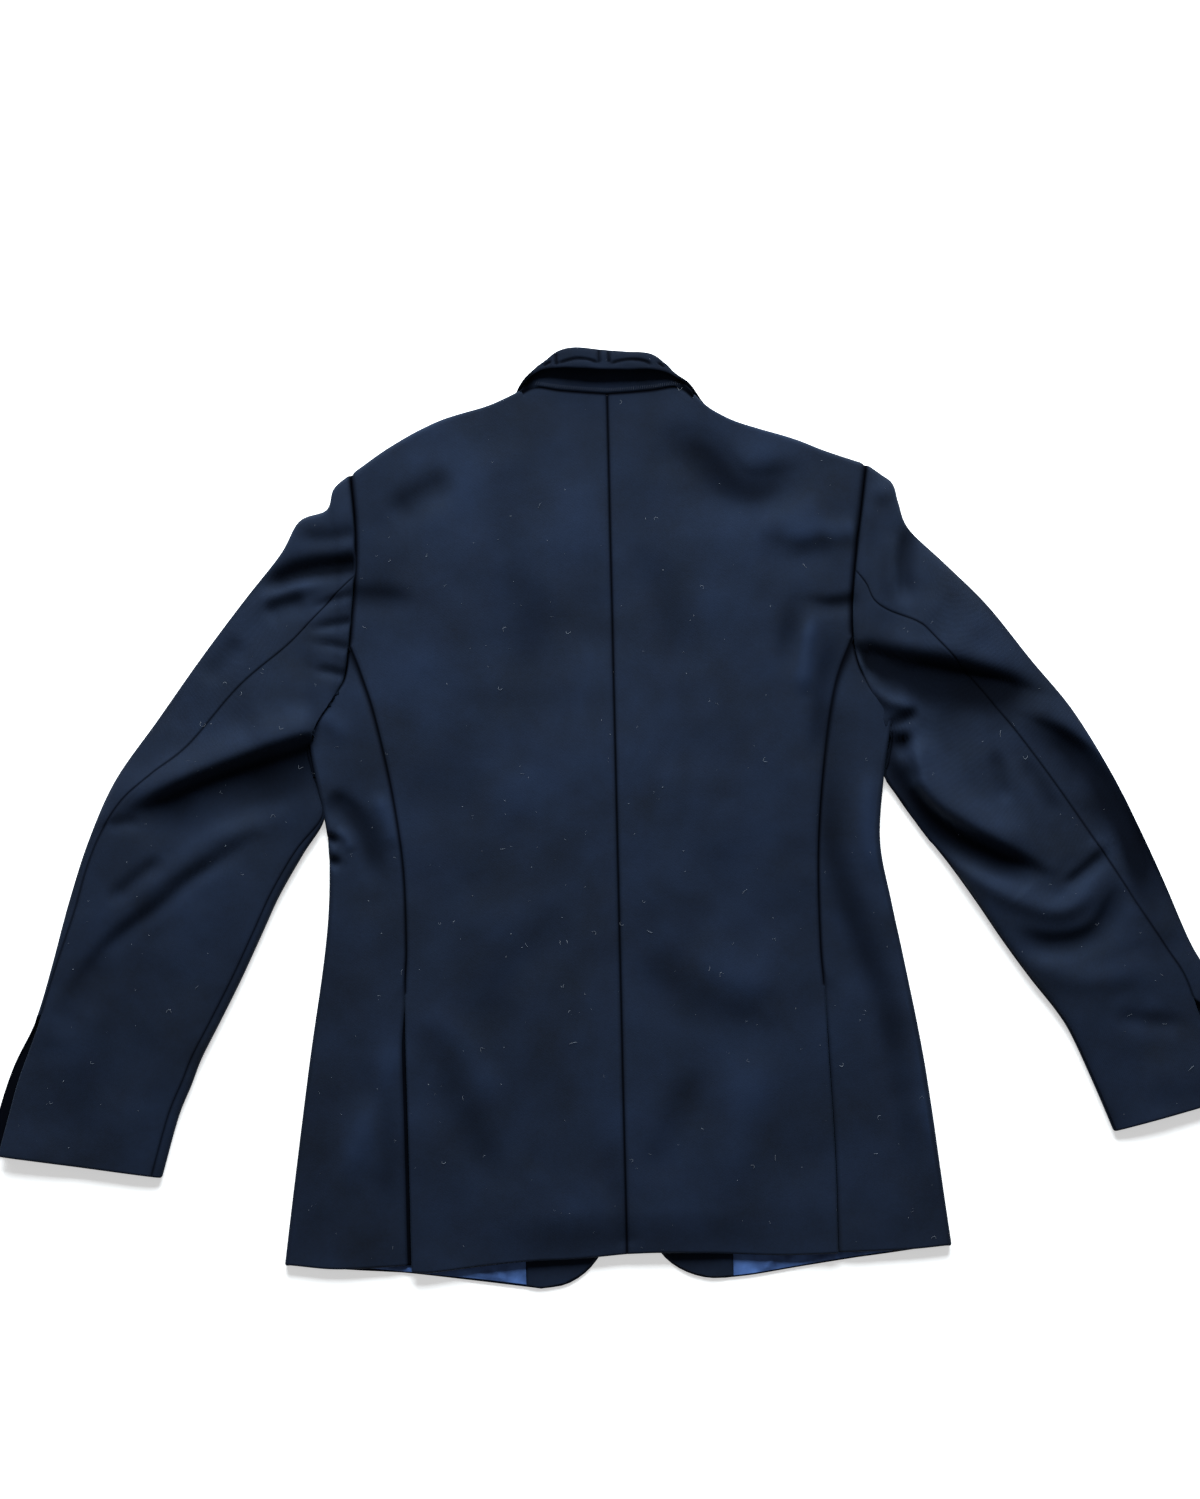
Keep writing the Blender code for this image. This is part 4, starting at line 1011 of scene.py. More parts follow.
    def side(self, step: float = 2.3) -> Cloth:
        """Cut the side panel: from its back seam, over the body's side, to the front.

        Args:
            step: the spacing of its grid.

        Returns:
            The piece.
        """
        plan, sign, form = self.plan, self.half.sign, self.form
        inward = np.array([-sign, 0.0])
        v = spaced(540.0, step)
        outline = resample(smooth(plan.side), v)
        x, y = outline.T
        near = ramp(v, 0.72, 1.0)[:, None]
        leans = unit(-inward * (1 - near) + self.underarm_lean * near)
        for _ in range(3):
            edge = form.top(x, y)
            x, y = middles = (outline - leans * edge[:, None] / 2).T
        middles = middles.T
        u, w = spaced(100.0, step), spaced(95.0, 2 * step)
        across = self.arm(self.panel, 1.0, u)
        beneath = self.arm(self.panel, 1.0, w)
        middles[-1] = across[-1]
        outside = (outline[0, 0] + sign * 500.0, outline[0, 1])
        seams = [draw_in(resample(smooth(seam), v), outside, HALF_GAP)
                 for seam in (plan.back_seam, plan.front_seam)]
        seams[0][:, 0] += sign * self.vent_open[self.half] \
            * ramp(seams[0][:, 1], *(self.vent_top + np.array(self.vent_spread)))
        halves = []
        for seam, hem_line, end, shares in ((seams[0], plan.side_hem, across, u),
                                            (seams[1], plan.under_hem, beneath, w)):
            hem = resample(smooth(hem_line), shares)
            seam[:, 1] += (hem[0, 1] - seam[0, 1]) * (1 - v) ** 3
            seam[-1] = end[0]
            hem += (seam[0] - hem[0]) * (1 - shares[:, None]) \
                + (middles[0] - hem[-1]) * shares[:, None]
            halves.append(patch(hem, end, seam, middles, shares, v))
        upper, lower = halves
        x, y = upper[..., 0], upper[..., 1]
        inside = np.abs(x - upper[:, :1, 0])
        vent = ramp(y[:, :1], *(self.vent_top + np.array(self.vent_start)))
        high = form.top(x, y) \
            - self.tuck_share * self.tuck * ramp(inside, self.tuck_reach, 0.0) * vent
        flat = np.array(self.lap_shares) * self.underlap
        lap = upper[:, :1] + inward * flat[None, :, None]
        lap_high = form.top(lap[..., 0], lap[..., 1]) - self.tuck
        edge = high[:, -1]
        angles = np.linspace(math.pi / 2, -math.pi / 2, 12)[1:-1]
        turn = np.swapaxes(self.roll(middles, leans, angles, np.zeros(len(v)), edge), 0, 1)
        low = form.underlay(lower[..., 0], lower[..., 1])
        away = np.abs(lower[..., 0] - lower[:, -1:, 0])
        creases = UNDER_RELIEF.lift(lower[..., 0], lower[..., 1])
        low = low + np.minimum(creases, self.under_crease) \
            * ramp(away, 4, 24) * ramp(low, 1.2, 0.0)
        points = np.concatenate([np.dstack([lap, lap_high]), np.dstack([upper, high]), turn,
                                 np.dstack([lower, low])[:, ::-1]], axis=1)
        keep = np.ones((points.shape[0] - 1, points.shape[1] - 1), bool)
        keep[y[1:, 0] > self.vent_top, :len(flat)] = False
        wall = form.wall(points[..., 0], points[..., 1])
        start = len(flat) + len(u)
        wall[:, start:start + len(angles)] *= self.side_wall
        # Painted shade: darker down the side's fold where it turns down to the floor, along the
        # back seam, and in troughs, with painted light on ridges
        dark = np.zeros(points.shape[:2])
        dark[:, start:start + len(angles)] = np.linspace(*self.side_shade, len(angles))
        seam_dip_and_painted_shade = np.exp(-((inside / self.side_line) ** 2)) * (1 - 0.5 * vent)
        painted_relief_shade = painted_fold_shading(form.relief.lift(x, y), BODY_PAINTED_SHADING)
        dark[:, len(flat):start] = seam_dip_and_painted_shade + painted_relief_shade * (1 - seam_dip_and_painted_shade)
        # painted shadow on the vent's underlap, under the back's raised edge
        dark[:, :len(flat)] = vent
        points[:, len(flat):len(flat) + len(u), 2] -= seam_dip_and_painted_shade
        return Cloth(f"side_{self.half.value}", points, wall,
                     {"right": Edge.SEWN, "bottom": Edge.TURNED, "top": Edge.ARMHOLE},
                     flip=sign < 0, keep=keep, shade=dark)


# ---------------------------------------------------------------- the sleeves


@dataclass(frozen=True)
class SleevePlan:
    """A sleeve's sections, from the armhole to the cuff, and its elbow seam."""

    outer: Path
    inner: Path
    vent: tuple[float | None, ...]      # where the top sleeve starts at the open vent
    elbow: Path
    relief: Relief
    under: Relief


# The share of the way from the armhole's shape to a plain tube, section by section
PLAIN = (0.0, 0.12, 0.25, 0.4, 0.6, 0.85) + (1.0,) * 10

SLEEVES = {
    Half.LEFT: SleevePlan(
        outer=((-221, -64.5), (-236, -77), (-242.5, -95), (-266, -104), (-283, -132),
               (-316, -172), (-354, -220.5), (-391.6, -271.6), (-428.9, -322.2),
               (-453, -373), (-470.7, -424), (-485.6, -475), (-497, -512),
               (-506.2, -534.1), (-527, -573), (-549.5, -639.5)),
        inner=((-259.6, -274.6), (-261, -284), (-261.8, -293), (-261.5, -303),
               (-258.6, -317), (-254.5, -339), (-251.3, -361), (-270, -390), (-291, -425),
               (-307, -458), (-326, -497), (-345, -533), (-361, -563), (-370, -585),
               (-382, -613), (-397.3, -664)),
        vent=(None,) * 13 + (-1.0, -3.5, -4.0),
        elbow=((-219.3, -151.1), (-236.5, -167.9), (-256.7, -188.9), (-278.7, -210.7),
               (-320.7, -244.9), (-364.7, -293.6), (-396, -317), (-423, -340),
               (-442, -368), (-455, -398), (-466.2, -434.6), (-481.4, -476.3),
               (-492.4, -507.8), (-501.6, -536), (-515.3, -571.6), (-522.7, -594.6),
               (-537, -645)),
        relief=Relief((
            Fold(((-272, -112), (-246, -115), (-222, -112)), -2.6, 7, 7, (0.4, 0.0)),
            Fold(((-305, -160), (-271, -143), (-222, -137)), -8.4, 8, 10, (0.3, 0.0)),
            Fold(((-306, -168), (-277, -157), (-243, -153)), 3.0, 6, 7),
            Fold(((-302, -181), (-285, -172), (-260, -167)), -4.2, 6, 10),
            Fold(((-322, -196), (-337, -213), (-358, -236)), -2.8, 11, 10),
            Fold(((-260, -176), (-226, -166)), -2.4, 3.6, 4, (0.5, 0.0)),
            Fold(((-262, -194), (-226, -189)), -3.2, 3.6, 4.2, (0.5, 0.0)),
            Fold(((-260, -204), (-228, -211)), -2.6, 3.4, 4, (0.5, 0.0)),
            Fold(((-258, -227), (-231, -234)), -3.2, 3.6, 4.4, (0.5, 0.0)),
            Fold(((-268, -214), (-302, -243), (-334, -261)), 2.4, 28, 24),
            Fold(((-252, -268), (-287, -277), (-328, -291), (-381, -312), (-436, -341)),
                 9.6, 18, 8, (0.1, 0.3)),
            Fold(((-250, -290), (-279, -300), (-321, -312), (-368, -328), (-430, -354)),
                 -7.6, 7.5, 38, (0.03, 0.3)),
            Fold(((-264, -338), (-316, -356), (-375, -374)), 1.6, 11, 13),
            Fold(((-438, -358), (-408, -353)), -2.0, 4.5, 6),
            Fold(((-292, -350), (-345, -369), (-393, -400), (-437, -434)), 2.4, 11, 8),
            Fold(((-312, -372), (-369, -405), (-393, -425), (-428, -450), (-451, -472),
                  (-484, -516)), -4.2, 4.6, 8, (0.3, 0.45)),
            Fold(((-440, -464), (-468, -496), (-492, -540)), -2.6, 12, 16),
            Fold(((-388, -384), (-420, -408), (-442, -426)), -3.6, 5, 8),
            Fold(((-336, -410), (-372, -440), (-408, -486)), 1.3, 14, 16),
            Fold(((-372, -520), (-410, -556), (-450, -620)), 1.2, 20, 18),
            Fold(((-440, -520), (-466, -560), (-486, -630)), -1.3, 16, 16),
            Ripple(31, 62, 1.4), Ripple(32, 30, 0.8), Ripple(33, 14, 0.2),
        )),
        under=Relief((
            Fold(((-262, -270), (-330, -290), (-400, -330)), 2.4, 11, 15),
            Fold(((-330, -420), (-390, -410), (-450, -440)), 2.0, 10, 12),
            Fold(((-280, -150), (-300, -210), (-320, -280)), 1.4, 15, 15),
            Fold(((-380, -520), (-440, -545), (-492, -560)), 1.6, 12, 13),
        )),
    ),
    Half.RIGHT: SleevePlan(
        outer=((220, -66), (233, -75.5), (243, -84), (247.6, -101), (256, -123), (287, -154),
               (322, -190), (358, -237), (392, -280), (424, -334), (446, -380),
               (467, -428), (488, -480), (503, -508), (526, -556), (556, -608)),
        inner=((238.6, -278.1), (237.6, -288), (236.2, -298), (234.6, -308), (232.5, -320),
               (230, -333.2), (242, -353), (262, -382), (284, -411), (306, -443),
               (328, -477), (351, -510), (373, -539), (386, -561), (405.3, -606),
               (420, -643)),
        vent=(None,) * 14 + (4.0, -3.5),
        elbow=((208, -156.5), (218.3, -169.8), (224, -182.9), (236.7, -192.6),
               (260.5, -202.6), (275.2, -215.8), (320.7, -269.2), (358.2, -319),
               (401, -382), (441.7, -445.4), (468.1, -487.2), (483.9, -513.3),
               (496.2, -550.5), (521, -624)),
        relief=Relief((
            Fold(((236, -80), (243, -98)), 2.6, 8, 8),
            Fold(((234, -122), (233, -185)), 1.8, 6, 7),
            Fold(((253, -112), (245, -158), (249, -192)), -5.4, 8, 9),
            Fold(((272, -166), (299, -190), (328, -216)), 2.6, 26, 22),
            Fold(((212, -222), (250, -230), (289, -238), (331, -250), (374, -266)),
                 -8.8, 9, 42, (0.06, 0.25)),
            Fold(((214, -206), (256, -219), (300, -226), (346, -238)), 3.4, 14, 9),
            Fold(((240, -238), (292, -246), (356, -264)), -5.0, 10, 22, (0.3, 0.3)),
            Fold(((348, -284), (385, -301), (408, -322), (425, -351), (443, -384),
                  (454, -430), (462, -474)), -9.0, 8, 23, (0.2, 0.3)),
            Fold(((372, -282), (404, -306), (428, -340)), 2.0, 8, 8),
            Fold(((206, -232), (234, -262), (252, -269), (276, -281)), 5.6, 8, 6,
                 (0.1, 0.4)),
            Fold(((214, -224), (230, -243)), -3.4, 4.5, 4.5, (0.0, 0.4)),
            Fold(((262, -274), (237, -287)), -4.6, 5, 5.5, (0.4, 0.0)),
            Fold(((249, -296), (274, -338), (302, -361), (345, -385), (378, -404)),
                 9.0, 17, 8, (0.1, 0.35)),
            Fold(((234, -298), (244, -330), (266, -361), (293, -384), (327, -402),
                  (360, -416), (370, -436)), -9.2, 6.5, 18, (0.0, 0.3)),
            Fold(((241, -300), (244, -322), (252, -346)), -7.0, 7, 6, (0.1, 0.3)),
            Fold(((272, -386), (322, -425), (379, -445), (420, -414)), 5.0, 10, 9),
            Fold(((330, -464), (367, -475), (402, -467), (420, -440), (428, -420)),
                 -6.4, 8, 13),
            Fold(((376, -432), (403, -411), (418, -397)), -4.0, 5, 7),
            Fold(((318, -312), (330, -364)), -2.6, 6, 7),
            Fold(((350, -316), (384, -374)), -2.8, 7, 8),
            Fold(((336, -479), (390, -503), (466, -498)), 2.6, 12, 12),
            Fold(((418, -537), (453, -544), (488, -546)), -2.4, 8, 8),
            Fold(((440, -580), (476, -590), (520, -584)), 1.2, 14, 14),
            Ripple(41, 62, 1.4), Ripple(42, 30, 0.8), Ripple(43, 14, 0.2),
        )),
        under=Relief((
            Fold(((240, -330), (320, -345), (390, -380)), 2.4, 12, 14),
            Fold(((300, -440), (370, -430), (440, -455)), 1.9, 11, 12),
            Fold(((270, -150), (285, -220), (310, -290)), 1.4, 15, 15),
            Fold(((400, -560), (450, -575), (510, -580)), 1.5, 12, 13),
        )),
    ),
}


@dataclass
class Sleeve:
    """A two-piece sleeve laid flat: the under sleeve faces up, the top sleeve wraps round."""

    body: Body
    step: float = 3.0
    row_step: float = 2.6
    height: float = 14.5        # the crown of the upper arm
    cuff_height: float = 11.5
    edge_height: float = 4.4    # where the tube is widest
    roundness: float = 4.6
    front_inset: dict[Half, float] = field(
        default_factory=lambda: {Half.LEFT: 12.0, Half.RIGHT: 4.5})
    front_inset_arm: float = 2.2
    inset_along: Point = (-322.0, -400.0)   # where the inset grows to its full width
    section: float = 43.0       # about how far one section is from the next
    groove: Point = (1.7, 3.0)  # the depth and the width of the dip along the armhole
    swell: tuple[float, float, float] = (0.9, 11.0, 7.0)    # beyond it: height, place, width
    lowest: float = 5.0         # the least height that a trough leaves the upper face
    under_crease: float = 2.4   # the most that a crease underneath stands up
    sunk: Point = (3.0, 8.0)    # how deep and how far in it is let down by the underarm
    sunk_along: Point = (-226.0, -246.0)
    # painted shade by the armhole: how dark and how wide, and what is added under the arm
    arm_shade: Point = (0.4, 0.5)       # how dark it is by the armhole, and what is added
    arm_shade_width: Point = (2.0, 3.4)     # low on it, and likewise how wide that shade is
    arm_shade_along: Point = (-186.0, -232.0)
    least_elbow: float = 1.2    # how far over the outer edge the elbow seam stays
    edge_reach: float = 9.0     # how far the close columns reach past the outer edge
    inner_reach: float = 10.0   # and past the inner one
    first_strip: float = 1.2    # the first close columns, where the vent is open
    columns: tuple[int, ...] = (26, 14, 26, 14, 4)
    last_columns: tuple[float, ...] = (0.18, 0.075, 0.033, 0.0)

    def rows(self) -> Array:
        """Return the section numbers of the mesh's rows, from 0 at the armhole to 15."""
        plan = SLEEVES[self.body.half]
        middle = (np.array(plan.outer, float) + np.array(plan.inner, float)) / 2
        along = travelled(middle)
        lengths = np.concatenate([
            np.array([0, 0.4, 1.0, 1.8, 2.8, 4.0, 5.4, 7.0]),
            np.arange(9.4, along[-1] - 2.4, self.row_step),
            along[-1] - np.array([2.2, 1.1, 0.45, 0.0]),
        ])
        return np.interp(lengths, along, np.arange(len(along)))

    def by_row(self, points: Path | tuple[float, ...], rows: Array) -> Array:
        """Return a column of the sections' table, smooth between the sections.

        Args:
            points: one entry for each section.
            rows: section numbers, with parts of one.

        Returns:
            One entry for each row.
        """
        run = np.asarray(points, float)
        run = run[:, None] if run.ndim == 1 else run
        fine = smooth(run, 20)
        at = np.linspace(0, len(run) - 1, len(fine))
        return np.stack([np.interp(rows, at, fine[:, k]) for k in range(run.shape[1])], -1)

    def sections(self) -> dict[str, Array]:
        """Work out closed sections of the tube.

        Returns:
            points: for each row, points round the tube from its outer edge over the top.
            arc: the length round the tube, up to each of them.
            topness: 1 on the crown, 0 below, and bottomness likewise.
            share: how far each is from the outer edge to the inner one.
        """
        plan, body = SLEEVES[self.body.half], self.body
        rows = self.rows()
        outer, inner = self.by_row(plan.outer, rows), self.by_row(plan.inner, rows)
        plain = np.interp(rows, np.arange(16), PLAIN)[:, None]
        half_turn = (1 - np.cos(np.linspace(0, math.pi, 481))) / 2
        share = np.concatenate([half_turn, half_turn[-2::-1]])
        over = np.arange(len(share)) < len(half_turn)
        arm_run = smooth(body.plan.armhole)
        first = outer[0], inner[0]
        arm = np.stack([np.interp(share, np.linspace(0, 1, 400),
                                  resample(arm_run, np.linspace(0, 1, 400))[:, k])
                        for k in (0, 1)], axis=-1)
        bow = arm - (first[0] + (first[1] - first[0]) * share[:, None])
        fade = ramp(rows, 5.2, 0.0)[:, None, None]
        flat = outer[:, None] + (inner - outer)[:, None] * share[:, None] + bow * fade
        x, y = flat[..., 0], flat[..., 1]
        high = self.height + (self.cuff_height - self.height) * ramp(rows, 9, 15)[:, None]
        high = body.form.top(x, y, creased=False) * (1 - plain) + high * plain
        centre = self.edge_height + (high / 2 - self.edge_height) * (1 - plain)
        width = np.linalg.norm(inner - outer, axis=1)[:, None]
        inset = width * np.minimum(share, 1 - share)
        radius = np.where(over, high - centre, centre)
        turned = (1 - np.clip(1 - inset / radius, 0, 1) ** FOLD_SHAPE) ** (1 / FOLD_SHAPE)
        full = (1 - np.abs(2 * share - 1) ** self.roundness) ** (1 / self.roundness)
        rise = np.where(over, turned + (full - turned) * plain, turned)
        z = np.where(over, centre + (high - centre) * rise, centre * (1 - rise))
        points = np.dstack([x, y, z])
        steps = np.linalg.norm(np.diff(points, axis=1), axis=2)
        arc = np.pad(np.cumsum(steps, axis=1), ((0, 0), (1, 0)))
        return {"points": points, "arc": arc, "share": share, "rows": rows,
                "topness": np.where(over, rise, 0.0), "under": np.where(over, 0.0, rise)}

    def seam_arc(self, tube: dict[str, Array]) -> Array:
        """Return where the elbow seam crosses each row, as a length round the tube.

        Args:
            tube: the sections.

        Returns:
            One length for each row.
        """
        run = resample(smooth(SLEEVES[self.body.half].elbow), np.linspace(0, 1, 500))
        way = np.gradient(run, axis=0)
        over = tube["points"].shape[1] // 2 + 1
        found = []
        for points, arc in zip(tube["points"], tube["arc"]):
            apart = points[:over, None, :2] - run[None]
            near = np.argmin(np.linalg.norm(apart, axis=2), axis=1)
            gap = apart[np.arange(over), near]
            side = way[near, 0] * gap[:, 1] - way[near, 1] * gap[:, 0]
            crossing = np.flatnonzero(side[1:] * side[:-1] < 0)
            if len(crossing):
                k = min(crossing, key=lambda place: np.hypot(*gap[place]))
                share = side[k] / (side[k] - side[k + 1])
                found.append(arc[k] + share * (arc[k + 1] - arc[k]))
            else:
                found.append(arc[np.argmin(np.hypot(*gap.T))])
        return np.array(found)

    def cut(self, tube: dict[str, Array], arcs: Array, name: str, edges: dict,
            flip: bool, upward: bool = False) -> Cloth:
        """Cut a piece from the tube at lengths round it, row by row.

        Args:
            tube: the sections.
            arcs: for each row, the lengths round the tube of the piece's columns.
            name: the piece's name.
            edges: how its edges are finished.
            flip: whether its grid runs clockwise.
            upward: whether its wall lies below it all over.

        Returns:
            The piece, with its creases.
        """
        plan = SLEEVES[self.body.half]
        total = tube["arc"][:, -1:]
        around = np.mod(arcs, total)
        values = {}
        for key in ("x", "y", "z", "topness", "under"):
            source = tube[key] if key in tube else tube["points"][..., "xyz".index(key)]
            rows = [np.interp(a, arc, np.broadcast_to(source, tube["arc"].shape)[k])
                    for k, (a, arc) in enumerate(zip(around, tube["arc"]))]
            values[key] = np.array(rows)
        x, y, z = values["x"], values["y"], values["z"]
        plain = np.interp(tube["rows"], np.arange(16), PLAIN)[:, None]
        from_arm = np.pad(np.cumsum(np.hypot(np.diff(x, axis=0), np.diff(y, axis=0)), axis=0),
                          ((1, 0), (0, 0)))
        crown = ramp(values["topness"], 0.12, 0.85)
        body_part = self.body.form.relief.lift(x, y) * np.exp(-from_arm / 6.0)
        lift = plan.relief.lift(x, y) * ramp(from_arm, -0.6, 6.0) + body_part
        depth, width = self.groove
        swell, at, spread = self.swell
        groove = -depth * np.exp(-((from_arm / width) ** 2)) \
            + swell * np.exp(-(((from_arm - at) / spread) ** 2)) * (1 - plain)
        # painted shade in troughs and painted light on ridges, on the crown
        creased = painted_fold_shading(lift, SLEEVE_PAINTED_SHADING) * crown
        lift = np.maximum(lift + groove, self.lowest - z)
        under = np.minimum(plan.under.lift(x, y), self.under_crease) \
            * ramp(values["under"], 0.8, 1.0)
        deep, far = self.sunk
        sunk = deep * ramp(y[:1], *self.sunk_along) * np.exp(-((from_arm / far) ** 2))
        z = z + (lift - sunk) * crown + under * ramp(from_arm, 4, 20)
        side = arcs - arcs[:, :1]
        flat = np.dstack([side, np.broadcast_to(tube["rows"][:, None] * self.section, side.shape)])
        wall = WALL + self.body.form.padding(x, y) * (1 - plain) / 2
        # painted shade on the sleeve's sides, where it turns down to the floor
        shade = creased + 0.5 * (1 - ramp(values["topness"], 0.35, 0.9)) \
            * (1 - ramp(values["under"], 0.0, 0.4))
        # painted shade along the armhole, darker and wider under the arm
        beneath = ramp(y[:1], *self.arm_shade_along)
        dark, wide = (least + more * beneath
                      for least, more in (self.arm_shade, self.arm_shade_width))
        shade = np.maximum(shade, dark * np.exp(-((from_arm / wide) ** 2)))
        return Cloth(name, np.dstack([x, y, z]), wall, edges, flip=flip, flat=flat,
                     shade=shade, upward=upward)

    def top_columns(self, start: Array, over: Array, end: Array, wide: Array) -> Array:
        """Place the top sleeve's columns, close together at both edges of the tube.

        Args:
            start: for each row, the length round the tube where the piece starts.
            over: the length of the inner edge, less the way round the whole tube.
            end: where the piece ends.
            wide: how far its seam is in from the inner edge.

        Returns:
            For each row, the lengths round the tube of the columns.
        """
        fold = np.minimum(self.edge_reach, start * 0.5)
        fold = np.where(start > 2.0, np.maximum(fold, 0.5), start - self.first_strip)
        stops = [start - HALF_GAP, fold, np.full(len(start), -self.edge_reach),
                 over + self.inner_reach, over - 0.6 * wide, end + 0.25 * wide]
        columns = []
        for k, count in enumerate(self.columns):
            shares = np.linspace(0, 1, count + 1)[:-1]
            if k == 0:
                shares = shares ** 1.5
            columns.append(stops[k][:, None] + (stops[k + 1] - stops[k])[:, None] * shares)
        columns.append(end[:, None] + wide[:, None] * np.array(self.last_columns))
        return np.hstack(columns)

    def pieces(self) -> list[Cloth]:
        """Cut the top sleeve and the under sleeve."""
        half = self.body.half
        plan, left = SLEEVES[half], half is Half.LEFT
        tube = self.sections()
        arc, rows = tube["arc"], tube["rows"]
        middle = tube["points"].shape[1] // 2
        over = arc[:, middle]
        elbow = np.maximum(self.seam_arc(tube), self.least_elbow)
        inset = ramp(tube["points"][:, middle, 1], *self.inset_along)
        wide = self.front_inset_arm + (self.front_inset[half] - self.front_inset_arm) * inset
        front = over - wide
        vent_from = sum(start is None for start in plan.vent)
        table = [(k, start) for k, start in enumerate(plan.vent) if start is not None]
        opened = np.interp(rows, [k for k, _ in table], [start for _, start in table])
        open_share = ramp(rows, vent_from - 0.75, vent_from - 0.1)
        start = elbow * (1 - open_share) + opened * open_share
        u = spaced(110.0, self.step)
        face = elbow[:, None] + HALF_GAP + (front - elbow - 2 * HALF_GAP)[:, None] * u
        sewn = np.full(len(rows), Edge.FINE)
        loose = sewn.copy()
        loose[rows > vent_from - 0.7] = Edge.TURNED
        under = self.cut(tube, face, f"under_sleeve_{half.value}",
                         {"left": loose, "right": sewn, "top": Edge.TURNED,
                          "bottom": Edge.ARMHOLE}, flip=left, upward=True)
        total = arc[:, -1]
        columns = self.top_columns(start, over - total, front - total + HALF_GAP, wide)
        top = self.cut(tube, columns, f"top_sleeve_{half.value}",
                       {"left": loose, "right": sewn, "top": Edge.TURNED,
                        "bottom": Edge.ARMHOLE}, flip=not left)
        # painted shadow inside the open cuff vent: the top sleeve's part there is painted near
        # black
        painted_shade = ramp(rows, vent_from - 0.8, vent_from - 0.3)[:, None] \
            * ramp(start[:, None] - columns, 20.0, 12.0)
        top.shade = np.maximum(top.shade, painted_shade)
        return [top, under]


# ---------------------------------------------------------------- the collar


